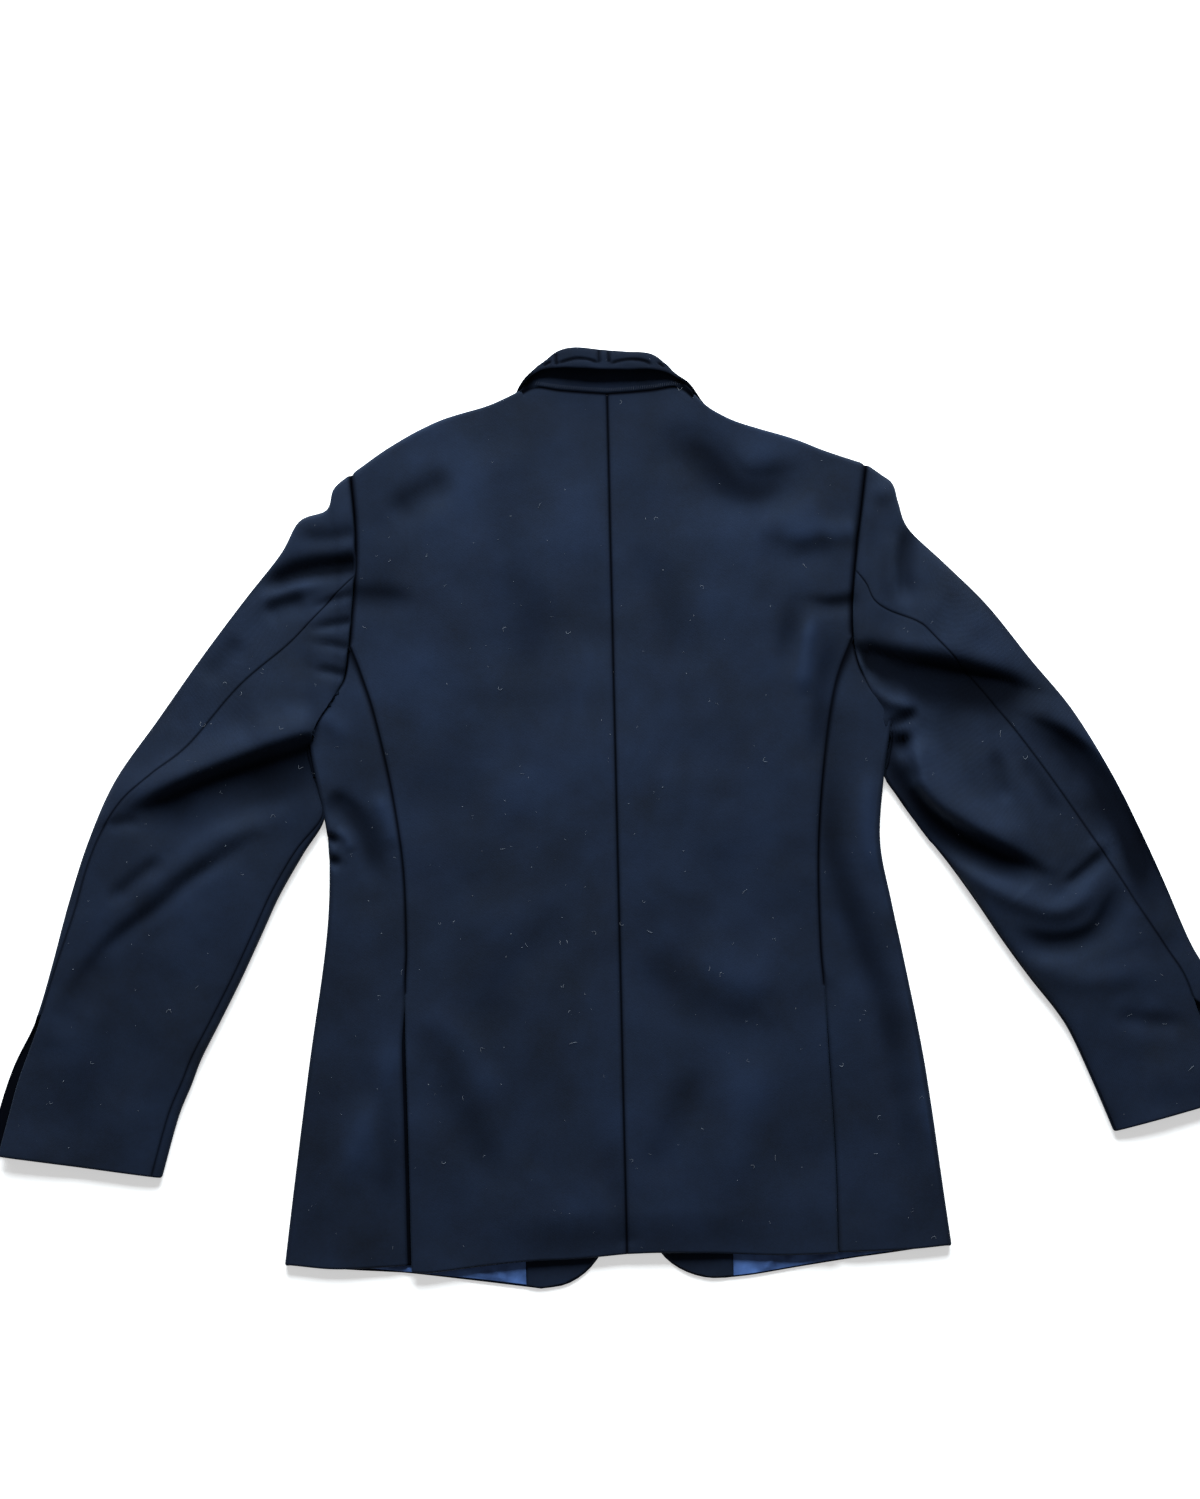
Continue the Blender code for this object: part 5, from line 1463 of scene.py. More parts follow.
@dataclass
class Collar:
    """The collar: its stand, flat behind the neck, and its leaf, sprung up over it."""

    form: Form
    wall: float = 2.2
    stand_top: float = 10.2
    fell: float = 3.6           # how far the stitches are above the neck seam
    # painted shade over the whole leaf
    leaf_shade: float = 0.66
    step: float = 1.6

    # From its left end under the front to its right one: the roll, the middle and the edge
    stations: tuple[tuple[tuple[float, float, float], ...], ...] = (
        ((-59, -73.8, 1.2), (-79, -78, 1.2), (-104, -83.6, 1.2)),
        ((-68, -30, 1.2), (-84, -34, 1.2), (-106, -38, 1.2)),
        ((-73, -8, 1.4), (-81, -12, 1.4), (-97, -20, 1.4)),
        ((-74.5, 4.6, 3.4), (-77, 2.6, 4.2), (-82, -4, 4.0)),
        ((-70, 11, 6.5), (-74, 9, 9.5), (-75.5, 5, 9.5)),
        ((-63.5, 17, 8.2), (-68.5, 15.5, 12.5), (-69.5, 12.5, 14.5)),
        ((-54, 25, 9.0), (-57.5, 24, 15), (-57, 20, 18.5)),
        ((-42, 36, 9.4), (-43.5, 33.5, 16.5), (-41, 21, 21)),
        ((-27, 39.6, 9.4), (-27.5, 36.4, 17), (-26, 20, 22)),
        ((-4, 37, 9.4), (-4, 34, 17), (-4, 18.6, 22)),
        ((18, 34.9, 9.4), (18, 32.2, 17), (18, 17.8, 21.6)),
        ((36.5, 32.4, 9.4), (37.5, 29.4, 16.5), (38, 17.6, 20.5)),
        ((47.5, 25.4, 9.0), (50, 22.8, 14.5), (51.5, 15.4, 18)),
        ((57.5, 14, 8.2), (60.5, 13.5, 12.5), (62, 11, 14.5)),
        ((66.5, 7.5, 6.5), (70.5, 6.5, 9.5), (71.5, 4.5, 10)),
        ((73, 0, 3.4), (77, -2, 4.2), (81, -8, 4.0)),
        ((73, -10, 1.4), (80, -15, 1.4), (95, -24, 1.4)),
        ((67, -32, 1.2), (83, -36, 1.2), (105, -40, 1.2)),
        ((59, -73.8, 1.2), (79, -78, 1.2), (104, -83.6, 1.2)),
    )
    roll: Path = ((-74, 2.5), (-69, 9), (-62.5, 16), (-53, 23.6), (-41.5, 34.4), (-27, 38.2),
                  (-4, 35.6), (18, 33.5), (36, 31), (46.8, 24.2), (56.5, 13), (65.5, 6.3),
                  (72.5, -1))
    # The lines pressed into the leaf's face
    arcs: tuple[Path, ...] = (
        ((-41.5, 24.6), (-33, 27.0), (-25.1, 28.4), (-15.7, 27.4), (-6.3, 23.8)),
        ((2.7, 22.8), (11.8, 25.6), (22.1, 26.6), (32.3, 24.8), (39.1, 21.2)),
        ((-5.7, 36.4), (-6.2, 32.0), (-6.0, 24.0)),
        ((2.3, 36.2), (2.0, 32.0), (2.4, 24.0)),
        ((-53.5, 23.4), (-47.4, 26.6)),
        ((-43.4, 34.0), (-43.0, 29.0), (-42.6, 23.0)),
        ((44.3, 23.2), (49.4, 19.6)),
    )

    @staticmethod
    def neck_seam(left: Body, right: Body) -> Array:
        """Return the neck seam, from the left shoulder to the right one."""
        return np.vstack([smooth(left.plan.neck)[::-1], smooth(right.plan.neck)[1:]])

    def leaf(self) -> Cloth:
        """Shape the leaf: a band that bows up and over, with its ends turned under."""
        rows = np.array(self.stations, float)
        u = spaced(42.0, self.step)
        across = np.array([resample(smooth(row, 24), u) for row in rows])
        middle = smooth(across[:, len(u) // 2], 10)
        length = travelled(middle)[-1]
        v = spaced(length, self.step)
        along = np.interp(v, travelled(middle) / length, np.linspace(0, len(rows) - 1,
                                                                     len(middle)))
        fine = [smooth(across[:, j], 20) for j in range(len(u))]
        knots = np.linspace(0, len(rows) - 1, len(fine[0]))
        points = np.stack([np.stack([np.interp(along, knots, line[:, k]) for k in range(3)],
                                    -1) for line in fine], axis=1)
        square = normals_of(points)
        x, y = points[..., 0], points[..., 1]
        lines = Relief(tuple(Fold(path, -1.5, 1.3, 1.1, (0.12, 0.12), 0.0)
                             for path in self.arcs))
        puffs = Relief(tuple(Fold(tuple((px, py - 3.2) for px, py in path), 0.5, 3, 3)
                             for path in self.arcs[:2]))
        facing_up = ramp(points[..., 2], 8.0, 14.0)
        soft = Ripple(51, 26, 0.7).lift(x, y * 2) + Ripple(52, 11, 0.25).lift(x, y * 2)
        pressed = lines.lift(x, y) * facing_up
        lift = pressed + (soft + puffs.lift(x, y)) * facing_up
        points = points + square * lift[..., None]
        # Painted shade: the whole leaf is darkened against the lamp that its raised face turns to,
        # its pressed lines darker still, and its ends that turn under painted near black as if in
        # shadow
        turned = np.maximum(ramp(x, -61, -69), ramp(x, 59, 68)) * ramp(y, -14, -4)
        shade = np.clip(self.leaf_shade - pressed * 0.4 + turned, 0, 1)
        flat = np.dstack(np.broadcast_arrays(u[None] * 42.0, (v * length)[:, None]))
        return Cloth("collar_leaf", points, self.wall,
                     dict.fromkeys(SIDES, Edge.TURNED), flat=flat, shade=shade)

    def stand(self, left: Body, right: Body) -> Cloth:
        """Shape the stand, flat beyond the neck seam up to the roll.

        Args:
            left: the left half of the body.
            right: the right half.

        Returns:
            The piece.
        """
        u = spaced(150.0, 2.0)
        seam = resample(self.neck_seam(left, right), u) + np.array([0.0, HALF_GAP])
        tucked = ramp(np.abs(seam[:, 0]), 58, 67)       # where it slips under the back
        seam[:, 1] -= 6.0 * tucked
        rolled = resample(smooth(self.roll), u)
        v = spaced(38.0, 2.0)[:, None, None]
        grid = seam[None] * (1 - v) + rolled[None] * v
        x, y = grid[..., 0], grid[..., 1]
        low = (self.form.top(seam[:, 0], seam[:, 1]) - 4.0 * tucked)[None]
        v = v[..., 0]
        z = low + (self.stand_top - low) * v + 0.5 * np.sin(math.pi * v)
        z = z + Ripple(55, 19, 0.35).lift(x, y) * ramp(v, 0, 0.2)
        tucked = np.broadcast_to(tucked, z.shape)
        # painted shade: the ends that slip under the back are painted near black, as if in shadow
        return Cloth("collar_stand", np.dstack([x, y, z]), self.wall - 1.1 * tucked,
                     {"left": Edge.SHARP, "right": Edge.SHARP, "top": Edge.SHARP,
                      "bottom": Edge.SEWN}, shade=0.85 * tucked)

    def stitches(self, left: Body, right: Body, surface: BVHTree) -> Array:
        """Return the line of the fell stitches that hold the stand to the neck.

        Args:
            left: the left half of the body.
            right: the right half.
            surface: the faces that they lie on.

        Returns:
            Points in millimetres.
        """
        line = resample(self.neck_seam(left, right), np.linspace(0.09, 0.91, 220))
        line = line + np.array([0.0, self.fell])
        return np.array([drop(surface, x, y) for x, y in line])


def drop(surface: BVHTree, x: float, y: float, up: bool = True) -> tuple[float, float, float]:
    """Return the point of a surface straight above or below a plan point, in millimetres."""
    start = Vector(place(np.array([x, y, 120.0 if up else -20.0])))
    hit = surface.ray_cast(start, Vector((0, 0, -1.0 if up else 1.0)))[0]
    return (x, y, float((hit.z - ORIGIN[2]) / MM) if hit else 0.0)


# ---------------------------------------------------------------- lapels and the inside


@dataclass(frozen=True)
class LapelPlan:
    """A lapel turned out under its front: the roll, the gorge, the free edge, the foot."""

    roll: Path
    gorge: Path
    edge: Path
    foot: Path


LAPELS = {
    Half.LEFT: LapelPlan(
        roll=((-58, -76), (-35, -180), (12, -388)),
        gorge=((-58, -76), (-104, -86), (-150, -94)),
        edge=((-150, -94), (-146, -125), (-104, -235), (-40, -340), (8, -389)),
        foot=((12, -388), (8, -389)),
    ),
    Half.RIGHT: LapelPlan(
        roll=((58, -76), (35, -180), (4, -326)),
        gorge=((58, -76), (104, -86), (150, -94)),
        edge=((150, -94), (146, -125), (104, -235), (52, -323), (15, -372)),
        foot=((4, -326), (15, -372)),
    ),
}


@dataclass
class Lapels:
    """The lapels, which lie flat on the floor under the fronts."""

    wall: float = 1.9
    step: float = 5.0
    relief: Relief = Relief((
        Fold(((-134, -110), (-110, -160), (-72, -200)), 0.7, 12, 16),
        Fold(((128, -120), (96, -168), (60, -190)), 0.7, 14, 12),
        Fold(((-90, -230), (-60, -250), (-40, -300)), 0.5, 12, 12),
        Fold(((86, -240), (60, -262), (36, -290)), 0.5, 12, 12),
    ))

    def piece(self, half: Half) -> Cloth:
        """Cut a lapel; its outer face is on the floor.

        Args:
            half: which lapel.

        Returns:
            The piece.
        """
        plan = LAPELS[half]
        u, v = spaced(95.0, self.step), spaced(320.0, self.step)
        grid = patch(resample(smooth(plan.gorge), u), resample(smooth(plan.foot), u),
                     resample(smooth(plan.roll), v), resample(smooth(plan.edge), v), u, v)
        x, y = grid[..., 0], grid[..., 1]
        away = margins(np.dstack([grid, x * 0]))
        inside = ramp(np.minimum.reduce(list(away.values())), 3, 22)
        z = self.relief.lift(x, y) * inside + 0.3 * ramp(inside, 0.0, 0.01)
        return Cloth(f"lapel_{half.value}", np.dstack([grid, z]), self.wall,
                     dict.fromkeys(SIDES, Edge.TURNED), flip=half is Half.LEFT)

    def edge_line(self, half: Half) -> Array:
        """Return the line of the stitches along a lapel's free edge, on the floor side."""
        run = resample(smooth(LAPELS[half].edge), np.linspace(0.02, 0.98, 260))
        line = draw_in(run, (0.0, -200.0), 5.0)
        return np.column_stack([line, np.full(len(line), 0.16)])


@dataclass(frozen=True)
class InsidePlan:
    """The facing and the lining that show below the back's hem."""

    facing_hem: Path
    facing_edge: Path
    lining_hem: Path


INSIDE = {
    Half.LEFT: InsidePlan(
        facing_hem=((-86.0, -764.0), (-74, -765.9), (-54.5, -763.0)),
        facing_edge=((-54.5, -763.0), (-38.5, -754.3), (-26, -740.8), (-15.5, -722)),
        lining_hem=((-241, -744.2), (-205, -748.2), (-130, -757.4), (-87.0, -763.6)),
    ),
    Half.RIGHT: InsidePlan(
        facing_hem=((90.8, -759.6), (80, -760.3), (69.5, -759.8)),
        facing_edge=((69.5, -759.8), (53.8, -755.4), (39.6, -747.2), (29.8, -736.6),
                     (20.5, -722)),
        lining_hem=((228, -741.8), (196, -745.4), (146.4, -752.4), (109, -758.0),
                    (91.2, -759.8)),
    ),
}


@dataclass
class Inside:
    """The strips of facing and lining on the fronts' inner face at the hem."""

    bottom: float = 2.5
    top_line: float = -722.0
    facing_wall: float = 1.2
    lining_wall: float = 0.5
    relief: Relief = Relief((
        Fold(((-232, -738), (-205, -745), (-168, -752)), 0.9, 3, 4),
        Fold(((-160, -742), (-140, -752), (-118, -759)), -0.5, 3, 3),
        Fold(((-150, -746), (-120, -754), (-96, -761)), 0.8, 2.5, 4),
        Fold(((-120, -738), (-110, -750), (-102, -764)), 0.8, 3, 3),
        Fold(((112, -758), (122, -746), (128, -730)), 0.9, 3, 3),
        Fold(((134, -756), (150, -746), (160, -732)), -0.5, 3, 3),
        Fold(((140, -754), (165, -745), (190, -738)), 0.9, 3, 4),
        Fold(((180, -750), (206, -742), (226, -738)), 0.7, 3, 3),
        Ripple(61, 9, 0.28, (1.8, 1.0)),
    ))

    def facing(self, half: Half) -> Cloth:
        """Cut the end of a facing, which follows the cutaway corner.

        Args:
            half: which facing.

        Returns:
            The piece.
        """
        plan, left = INSIDE[half], half is Half.LEFT
        u, v = spaced(32.0, 2.2), spaced(48.0, 2.2)
        hem = resample(smooth(plan.facing_hem), u)
        edge = resample(smooth(plan.facing_edge), v)
        seam = np.column_stack([np.full(len(v), hem[0, 0]),
                                hem[0, 1] + (self.top_line - hem[0, 1]) * v])
        top = seam[-1] + (edge[-1] - seam[-1]) * u[:, None]
        grid = patch(hem, top, seam, edge, u, v)
        z = self.bottom + self.facing_wall + Ripple(62, 16, 0.25).lift(grid[..., 0],
                                                                       grid[..., 1])
        return Cloth(f"facing_{half.value}", np.dstack([grid, z]), self.facing_wall,
                     dict.fromkeys(SIDES, Edge.SHARP), flip=not left)

    def lining(self, half: Half) -> Cloth:
        """Cut a strip of lining, with the slack creases of its pleat.

        Args:
            half: which side.

        Returns:
            The piece.
        """
        plan, left = INSIDE[half], half is Half.LEFT
        u, v = spaced(150.0, 1.5, (0.4,)), spaced(36.0, 1.5, (0.4,))
        hem = resample(smooth(plan.lining_hem), u)
        rise = (self.top_line - hem[:, 1])[None] * v[:, None]
        x, y = np.broadcast_to(hem[:, 0], rise.shape), hem[None, :, 1] + rise
        edge = ramp(np.minimum(v, 1 - v), 0.0, 0.09)[:, None]
        z = self.bottom + self.lining_wall \
            + np.maximum(self.relief.lift(x, y), -0.1) * edge
        return Cloth(f"lining_{half.value}", np.dstack([x, y, z]), self.lining_wall,
                     dict.fromkeys(SIDES, Edge.FOLD), flip=not left)


@dataclass
class Button:
    """A turned horn button with a dished face and four holes, laid face down."""

    name: str
    radius: float = 10.0
    turns: int = 48
    hole: float = 1.05
    hole_place: float = 1.75
    profile: Path = ((0, 2.8), (8.4, 2.8), (9.3, 2.62), (9.85, 2.1), (10, 1.5),
                     (9.9, 0.8), (9.4, 0.22), (8.6, 0.0), (7.8, 0.1), (7.1, 0.5),
                     (6.2, 0.76), (4.4, 0.8), (0, 0.8))

    def centre(self) -> Array:
        """Return the middle of the button on the plan."""
        return np.array(BUTTONS[self.name])

    def hole_places(self) -> Array:
        """Return the middles of the four holes on the plan."""
        signs = np.array([(-1, -1), (1, -1), (1, 1), (-1, 1)])
        return self.centre() + signs * self.hole_place

    def build(self, material: bpy.types.Material) -> bpy.types.Object:
        """Turn the button and drill its holes.

        Args:
            material: its finish.

        Returns:
            The new object, in the scene.
        """
        bm = bmesh.new()
        x, y = self.centre()
        angles = np.linspace(0, 2 * math.pi, self.turns, endpoint=False)
        rings = []
        for radius, z in self.profile:
            spots = [(x, y, z)] if radius == 0 else [
                (x + radius * math.cos(a), y + radius * math.sin(a), z) for a in angles]
            rings.append([bm.verts.new(point) for point in place(np.array(spots))])
        for above, below in zip(rings, rings[1:]):
            for k in range(self.turns):
                m = (k + 1) % self.turns
                ring = [above[k % len(above)], above[m % len(above)],
                        below[m % len(below)], below[k % len(below)]]
                bm.faces.new(list(dict.fromkeys(ring)))
        bmesh.ops.recalc_face_normals(bm, faces=bm.faces)
        mesh = bpy.data.meshes.new(self.name + "_turned")
        bm.to_mesh(mesh)
        bm.free()
        mesh.materials.append(material)
        blank = bpy.data.objects.new(self.name + "_blank", mesh)
        bpy.context.scene.collection.objects.link(blank)
        drills = self._drills()
        cut = blank.modifiers.new("holes", "BOOLEAN")
        cut.operation, cut.object, cut.solver = "DIFFERENCE", drills, "EXACT"
        piece = settled(blank, self.name + "_horn")
        bpy.data.objects.remove(drills, do_unlink=True)
        piece.data.polygons.foreach_set("use_smooth", [True] * len(piece.data.polygons))
        piece.data.set_sharp_from_angle(angle=math.radians(40))
        return piece

    def _drills(self) -> bpy.types.Object:
        """Make the four pins that the holes are cut with."""
        bm = bmesh.new()
        for x, y in self.hole_places():
            made = bmesh.ops.create_cone(bm, cap_ends=True, segments=16,
                                         radius1=self.hole * MM, radius2=self.hole * MM,
                                         depth=8 * MM)
            bmesh.ops.translate(bm, verts=made["verts"],
                                vec=Vector(place(np.array([x, y, 1.5]))))
        mesh = bpy.data.meshes.new("drills")
        bm.to_mesh(mesh)
        bm.free()
        drills = bpy.data.objects.new("drills", mesh)
        bpy.context.scene.collection.objects.link(drills)
        return drills

    def thread_lines(self) -> list[Array]:
        """Return the middles of the two crossings of thread over the holes' web."""
        x, y = self.centre()
        lines = []
        for side in (-1, 1):
            at = y + side * self.hole_place
            lines.append(np.array([(x, at - 0.5, 0.72), (x, at + 0.5, 0.72)]))
        return lines


def settled(source: bpy.types.Object, name: str) -> bpy.types.Object:
    """Turn an object with live modifiers into a plain one.

    Args:
        source: the object, which is removed.
        name: the name of the plain one.

    Returns:
        The new object, in the scene.
    """
    bpy.context.view_layer.update()
    graph = bpy.context.evaluated_depsgraph_get()
    mesh = bpy.data.meshes.new_from_object(source.evaluated_get(graph),
                                           preserve_all_data_layers=True, depsgraph=graph)
    mesh.name = name
    piece = bpy.data.objects.new(name, mesh)
    bpy.context.scene.collection.objects.link(piece)
    bpy.data.objects.remove(source, do_unlink=True)
    return piece


# ---------------------------------------------------------------- node trees


class Tap:
    """An output of a node, which takes part in Python arithmetic."""

    def __init__(self, graph: Graph, socket: bpy.types.NodeSocket) -> None:
        """Hold a socket of a graph."""
        self.graph, self.socket = graph, socket

    def _math(self, operation: str, *values: Tap | float) -> Tap:
        """Add a Math node on values and return its output."""
        return self.graph.node("ShaderNodeMath", {"operation": operation},
                               dict(enumerate(values)))

    def __add__(self, other: Tap | float) -> Tap:
        """Add."""
        return self._math("ADD", self, other)

    def __radd__(self, other: Tap | float) -> Tap:
        """Add, from the right."""
        return self._math("ADD", other, self)

    def __sub__(self, other: Tap | float) -> Tap:
        """Take away."""
        return self._math("SUBTRACT", self, other)

    def __rsub__(self, other: Tap | float) -> Tap:
        """Take away from a number."""
        return self._math("SUBTRACT", other, self)

    def __mul__(self, other: Tap | float) -> Tap:
        """Multiply."""
        return self._math("MULTIPLY", self, other)

    def __rmul__(self, other: Tap | float) -> Tap:
        """Multiply, from the right."""
        return self._math("MULTIPLY", other, self)

    def sine(self) -> Tap:
        """Return the sine."""
        return self._math("SINE", self)

    def between(self, low: float, high: float) -> Tap:
        """Return 0 at low and 1 at high, held to that span."""
        return self.graph.node("ShaderNodeMapRange", {"clamp": True},
                               {"Value": self, "From Min": low, "From Max": high})


class Graph:
    """A node tree being built, of a material or of a geometry modifier."""

    def __init__(self, tree: bpy.types.NodeTree) -> None:
        """Start on a tree."""
        self.tree = tree

    def node(self, kind: str, settings: dict | None = None, sockets: dict | None = None,
             output: int | str = 0) -> Tap:
        """Add a node.

        Args:
            kind: the node's type.
            settings: its properties, and "stops" for a ramp's positions and colours.
            sockets: the values or taps of its inputs, by name or number.
            output: which output to return.

        Returns:
            The output.
        """
        node = self.tree.nodes.new(kind)
        for key, value in (settings or {}).items():
            if key == "stops":
                for element, (at, colour) in zip(node.color_ramp.elements, value):
                    element.position, element.color = at, (*colour, 1.0)
            else:
                setattr(node, key, value)
        for key, value in (sockets or {}).items():
            slot = node.inputs[key]
            if isinstance(value, Tap):
                self.tree.links.new(value.socket, slot)
            else:
                slot.default_value = value
        if not node.outputs:
            return Tap(self, None)
        return Tap(self, node.outputs[output])

    def mix(self, first: Tap | tuple, second: Tap | tuple, share: Tap | float,
            blend: str = "MIX") -> Tap:
        """Blend two colours by a share.

        Args:
            first: the colour at share 0.
            second: the colour at share 1.
            share: how far from the first to the second.
            blend: the way of blending.

        Returns:
            The blended colour.
        """
        paint = {6: first if isinstance(first, Tap) else (*first, 1.0),
                 7: second if isinstance(second, Tap) else (*second, 1.0), 0: share}
        return self.node("ShaderNodeMix", {"data_type": "RGBA", "blend_type": blend},
                         paint, 2)


def shader_graph(name: str) -> tuple[bpy.types.Material, Graph]:
    """Start a new material with an empty tree."""
    material = bpy.data.materials.new(name)
    material.use_nodes = True
    material.node_tree.nodes.clear()
    return material, Graph(material.node_tree)


def surface(graph: Graph, constants: dict, varied: dict) -> None:
    """Finish a material with its surface shader.

    Args:
        graph: the material's tree.
        constants: the inputs that are the same all over.
        varied: the inputs that change over the surface.
    """
    shader = graph.node("ShaderNodeBsdfPrincipled", None, {**constants, **varied})
    graph.node("ShaderNodeOutputMaterial", None, {"Surface": shader})


@dataclass(frozen=True)
class Wool:
    """Navy wool twill with a short nap, with painted light on its ridges and painted shade in its
    seams, troughs and other shaded places.
    """

    name: str = "wool"
    dark: tuple[float, float, float] = (0.0048, 0.0053, 0.0086)
    light: tuple[float, float, float] = (0.0084, 0.0136, 0.0310)
    twill: float = 0.0011
    roughness: float = 0.75
    sheen: float = 0.05
    tint: tuple[float, float, float] = (0.36, 0.60, 1.0)
    # the near-black that the painted shade mixes towards
    deep: tuple[float, float, float] = (0.0008, 0.0008, 0.0012)

    def make(self) -> bpy.types.Material:
        """Build the material."""
        material, graph = shader_graph(self.name)
        cloth = graph.node("ShaderNodeUVMap", {"uv_map": "cloth"})
        across = graph.node("ShaderNodeSeparateXYZ", None, {0: cloth}, "X")
        along = graph.node("ShaderNodeSeparateXYZ", None, {0: cloth}, "Y")
        wobble = graph.node("ShaderNodeTexNoise", None,
                            {"Vector": cloth, "Scale": 90.0, "Detail": 2.0})
        turn = 2 * math.pi / self.twill
        rib = ((across + along * 0.82) * turn + wobble * 4.0).sine()
        nap = graph.node("ShaderNodeTexNoise", None,
                         {"Vector": cloth, "Scale": 1300.0, "Detail": 4.0,
                          "Roughness": 0.65})
        where = graph.node("ShaderNodeTexCoord", None, None, "Object")
        broad = graph.node("ShaderNodeTexNoise", None,
                           {"Vector": where, "Scale": 13.0, "Detail": 4.0,
                            "Roughness": 0.6})
        brushed = graph.node("ShaderNodeTexNoise", None,
                             {"Vector": where, "Scale": 55.0, "Detail": 3.0})
        fleck = graph.node("ShaderNodeTexNoise", None,
                           {"Vector": where, "Scale": 420.0, "Detail": 3.0,
                            "Roughness": 0.7})
        # The 'seam' attribute: above 0 painted shade, below 0 painted light, which moves the
        # colour towards the light navy
        seam = graph.node("ShaderNodeAttribute", {"attribute_name": "seam"}, None, "Fac")
        share = (broad.between(0.30, 0.74) * 0.66 + brushed.between(0.3, 0.7) * 0.14
                 + fleck.between(0.3, 0.7) * 0.2 + nap * 0.16 - 0.12 + rib * 0.04
                 + seam.between(0.0, -0.3) * 0.5)
        colour = graph.mix(self.dark, self.light, share)
        height = rib * 0.35 + nap * 1.1 + fleck * 0.8
        bump = graph.node("ShaderNodeBump", None,
                          {"Strength": 0.55, "Distance": 0.00022, "Height": height})
        lit = graph.node("ShaderNodeBsdfPrincipled", None,
                         {"Specular IOR Level": 0.2, "Specular Tint": (*self.tint, 1.0),
                          "Sheen Weight": self.sheen, "Sheen Roughness": 0.45,
                          "Sheen Tint": (*self.tint, 1.0), "Base Color": colour,
                          "Roughness": self.roughness - 0.08 + nap * 0.16,
                          "Normal": bump})
        # painted shade: a near-black finish mixed in as far as the 'seam' attribute goes
        painted_shade = graph.node("ShaderNodeBsdfPrincipled", None,
                            {"Base Color": (*self.deep, 1.0), "Roughness": 0.9,
                             "Specular IOR Level": 0.0})
        both = graph.node("ShaderNodeMixShader", None,
                          {0: seam.between(0.0, 1.0) * 0.9, 1: lit, 2: painted_shade})
        graph.node("ShaderNodeOutputMaterial", None, {"Surface": both})
        return material


@dataclass(frozen=True)
class Satin:
    """A blue satin lining, smooth along its length and finely ribbed across."""

    name: str = "satin_lining"
    dark: tuple[float, float, float] = (0.030, 0.064, 0.180)
    light: tuple[float, float, float] = (0.080, 0.165, 0.430)
    rib: float = 0.0005

    def make(self) -> bpy.types.Material:
        """Build the material."""
        material, graph = shader_graph(self.name)
        where = graph.node("ShaderNodeTexCoord", None, None, "Object")
        across = graph.node("ShaderNodeSeparateXYZ", None, {0: where}, "X")
        rib = (across * (2 * math.pi / self.rib)).sine()
        cloudy = graph.node("ShaderNodeTexNoise", None,
                            {"Vector": where, "Scale": 60.0, "Detail": 3.0})
        colour = graph.mix(self.dark, self.light, cloudy.between(0.32, 0.68))
        bump = graph.node("ShaderNodeBump", None,
                          {"Strength": 0.3, "Distance": 0.0001,
                           "Height": rib * 0.4 + cloudy * 4.0})
        surface(graph, {"Specular IOR Level": 0.3, "Sheen Weight": 0.05,
                        "Sheen Tint": (0.6, 0.75, 1.0, 1.0)},
                {"Base Color": colour, "Roughness": 0.36 + cloudy * 0.12, "Normal": bump})
        return material


@dataclass(frozen=True)
class Horn:
    """Dark polished horn with paler streaks."""

    name: str = "horn"
    dark: tuple[float, float, float] = (0.008, 0.008, 0.010)
    light: tuple[float, float, float] = (0.045, 0.038, 0.034)

    def make(self) -> bpy.types.Material:
        """Build the material."""
        material, graph = shader_graph(self.name)
        where = graph.node("ShaderNodeTexCoord", None, None, "Object")
        long = graph.node("ShaderNodeMapping", None,
                          {"Vector": where, "Scale": (1.0, 0.25, 1.0)})
        streak = graph.node("ShaderNodeTexNoise", None,
                            {"Vector": long, "Scale": 380.0, "Detail": 4.0,
                             "Distortion": 0.6})
        colour = graph.mix(self.dark, self.light, streak.between(0.48, 0.78))
        surface(graph, {"Coat Weight": 0.25, "Coat Roughness": 0.15},
                {"Base Color": colour, "Roughness": 0.22 + streak * 0.2})
        return material


@dataclass(frozen=True)
class Yarn:
    """Twisted thread or a stray fibre."""

    name: str
    colour: tuple[float, float, float]
    pale: tuple[float, float, float]
    roughness: float = 0.75

    def make(self) -> bpy.types.Material:
        """Build the material."""
        material, graph = shader_graph(self.name)
        where = graph.node("ShaderNodeTexCoord", None, None, "Object")
        fuzz = graph.node("ShaderNodeTexNoise", None,
                          {"Vector": where, "Scale": 2400.0, "Detail": 2.0})
        patchy = graph.node("ShaderNodeTexNoise", None,
                            {"Vector": where, "Scale": 140.0, "Detail": 2.0})
        colour = graph.mix(self.colour, self.pale,
                           fuzz.between(0.3, 0.7) * 0.5 + patchy.between(0.35, 0.65) * 0.5)
        bump = graph.node("ShaderNodeBump", None,
                          {"Strength": 0.4, "Distance": 0.00005, "Height": fuzz})
        surface(graph, {"Sheen Weight": 0.2}, {"Base Color": colour,
                                               "Roughness": self.roughness,
                                               "Normal": bump})
        return material


@dataclass(frozen=True)
class Paper:
    """The pale seamless floor."""

    name: str = "pale_floor"
    colour: tuple[float, float, float] = (0.93, 0.93, 0.935)
    glow: float = 0.5

    def make(self) -> bpy.types.Material:
        """Build the material."""
        material, graph = shader_graph(self.name)
        where = graph.node("ShaderNodeTexCoord", None, None, "Object")
        grain = graph.node("ShaderNodeTexNoise", None,
                           {"Vector": where, "Scale": 6.0, "Detail": 2.0})
        colour = graph.mix(self.colour, (0.95, 0.95, 0.955), grain)
        surface(graph, {"Roughness": 0.75, "Emission Color": (1.0, 1.0, 1.0, 1.0),
                        "Emission Strength": self.glow}, {"Base Color": colour})
        return material


# ---------------------------------------------------------------- stitches and lint


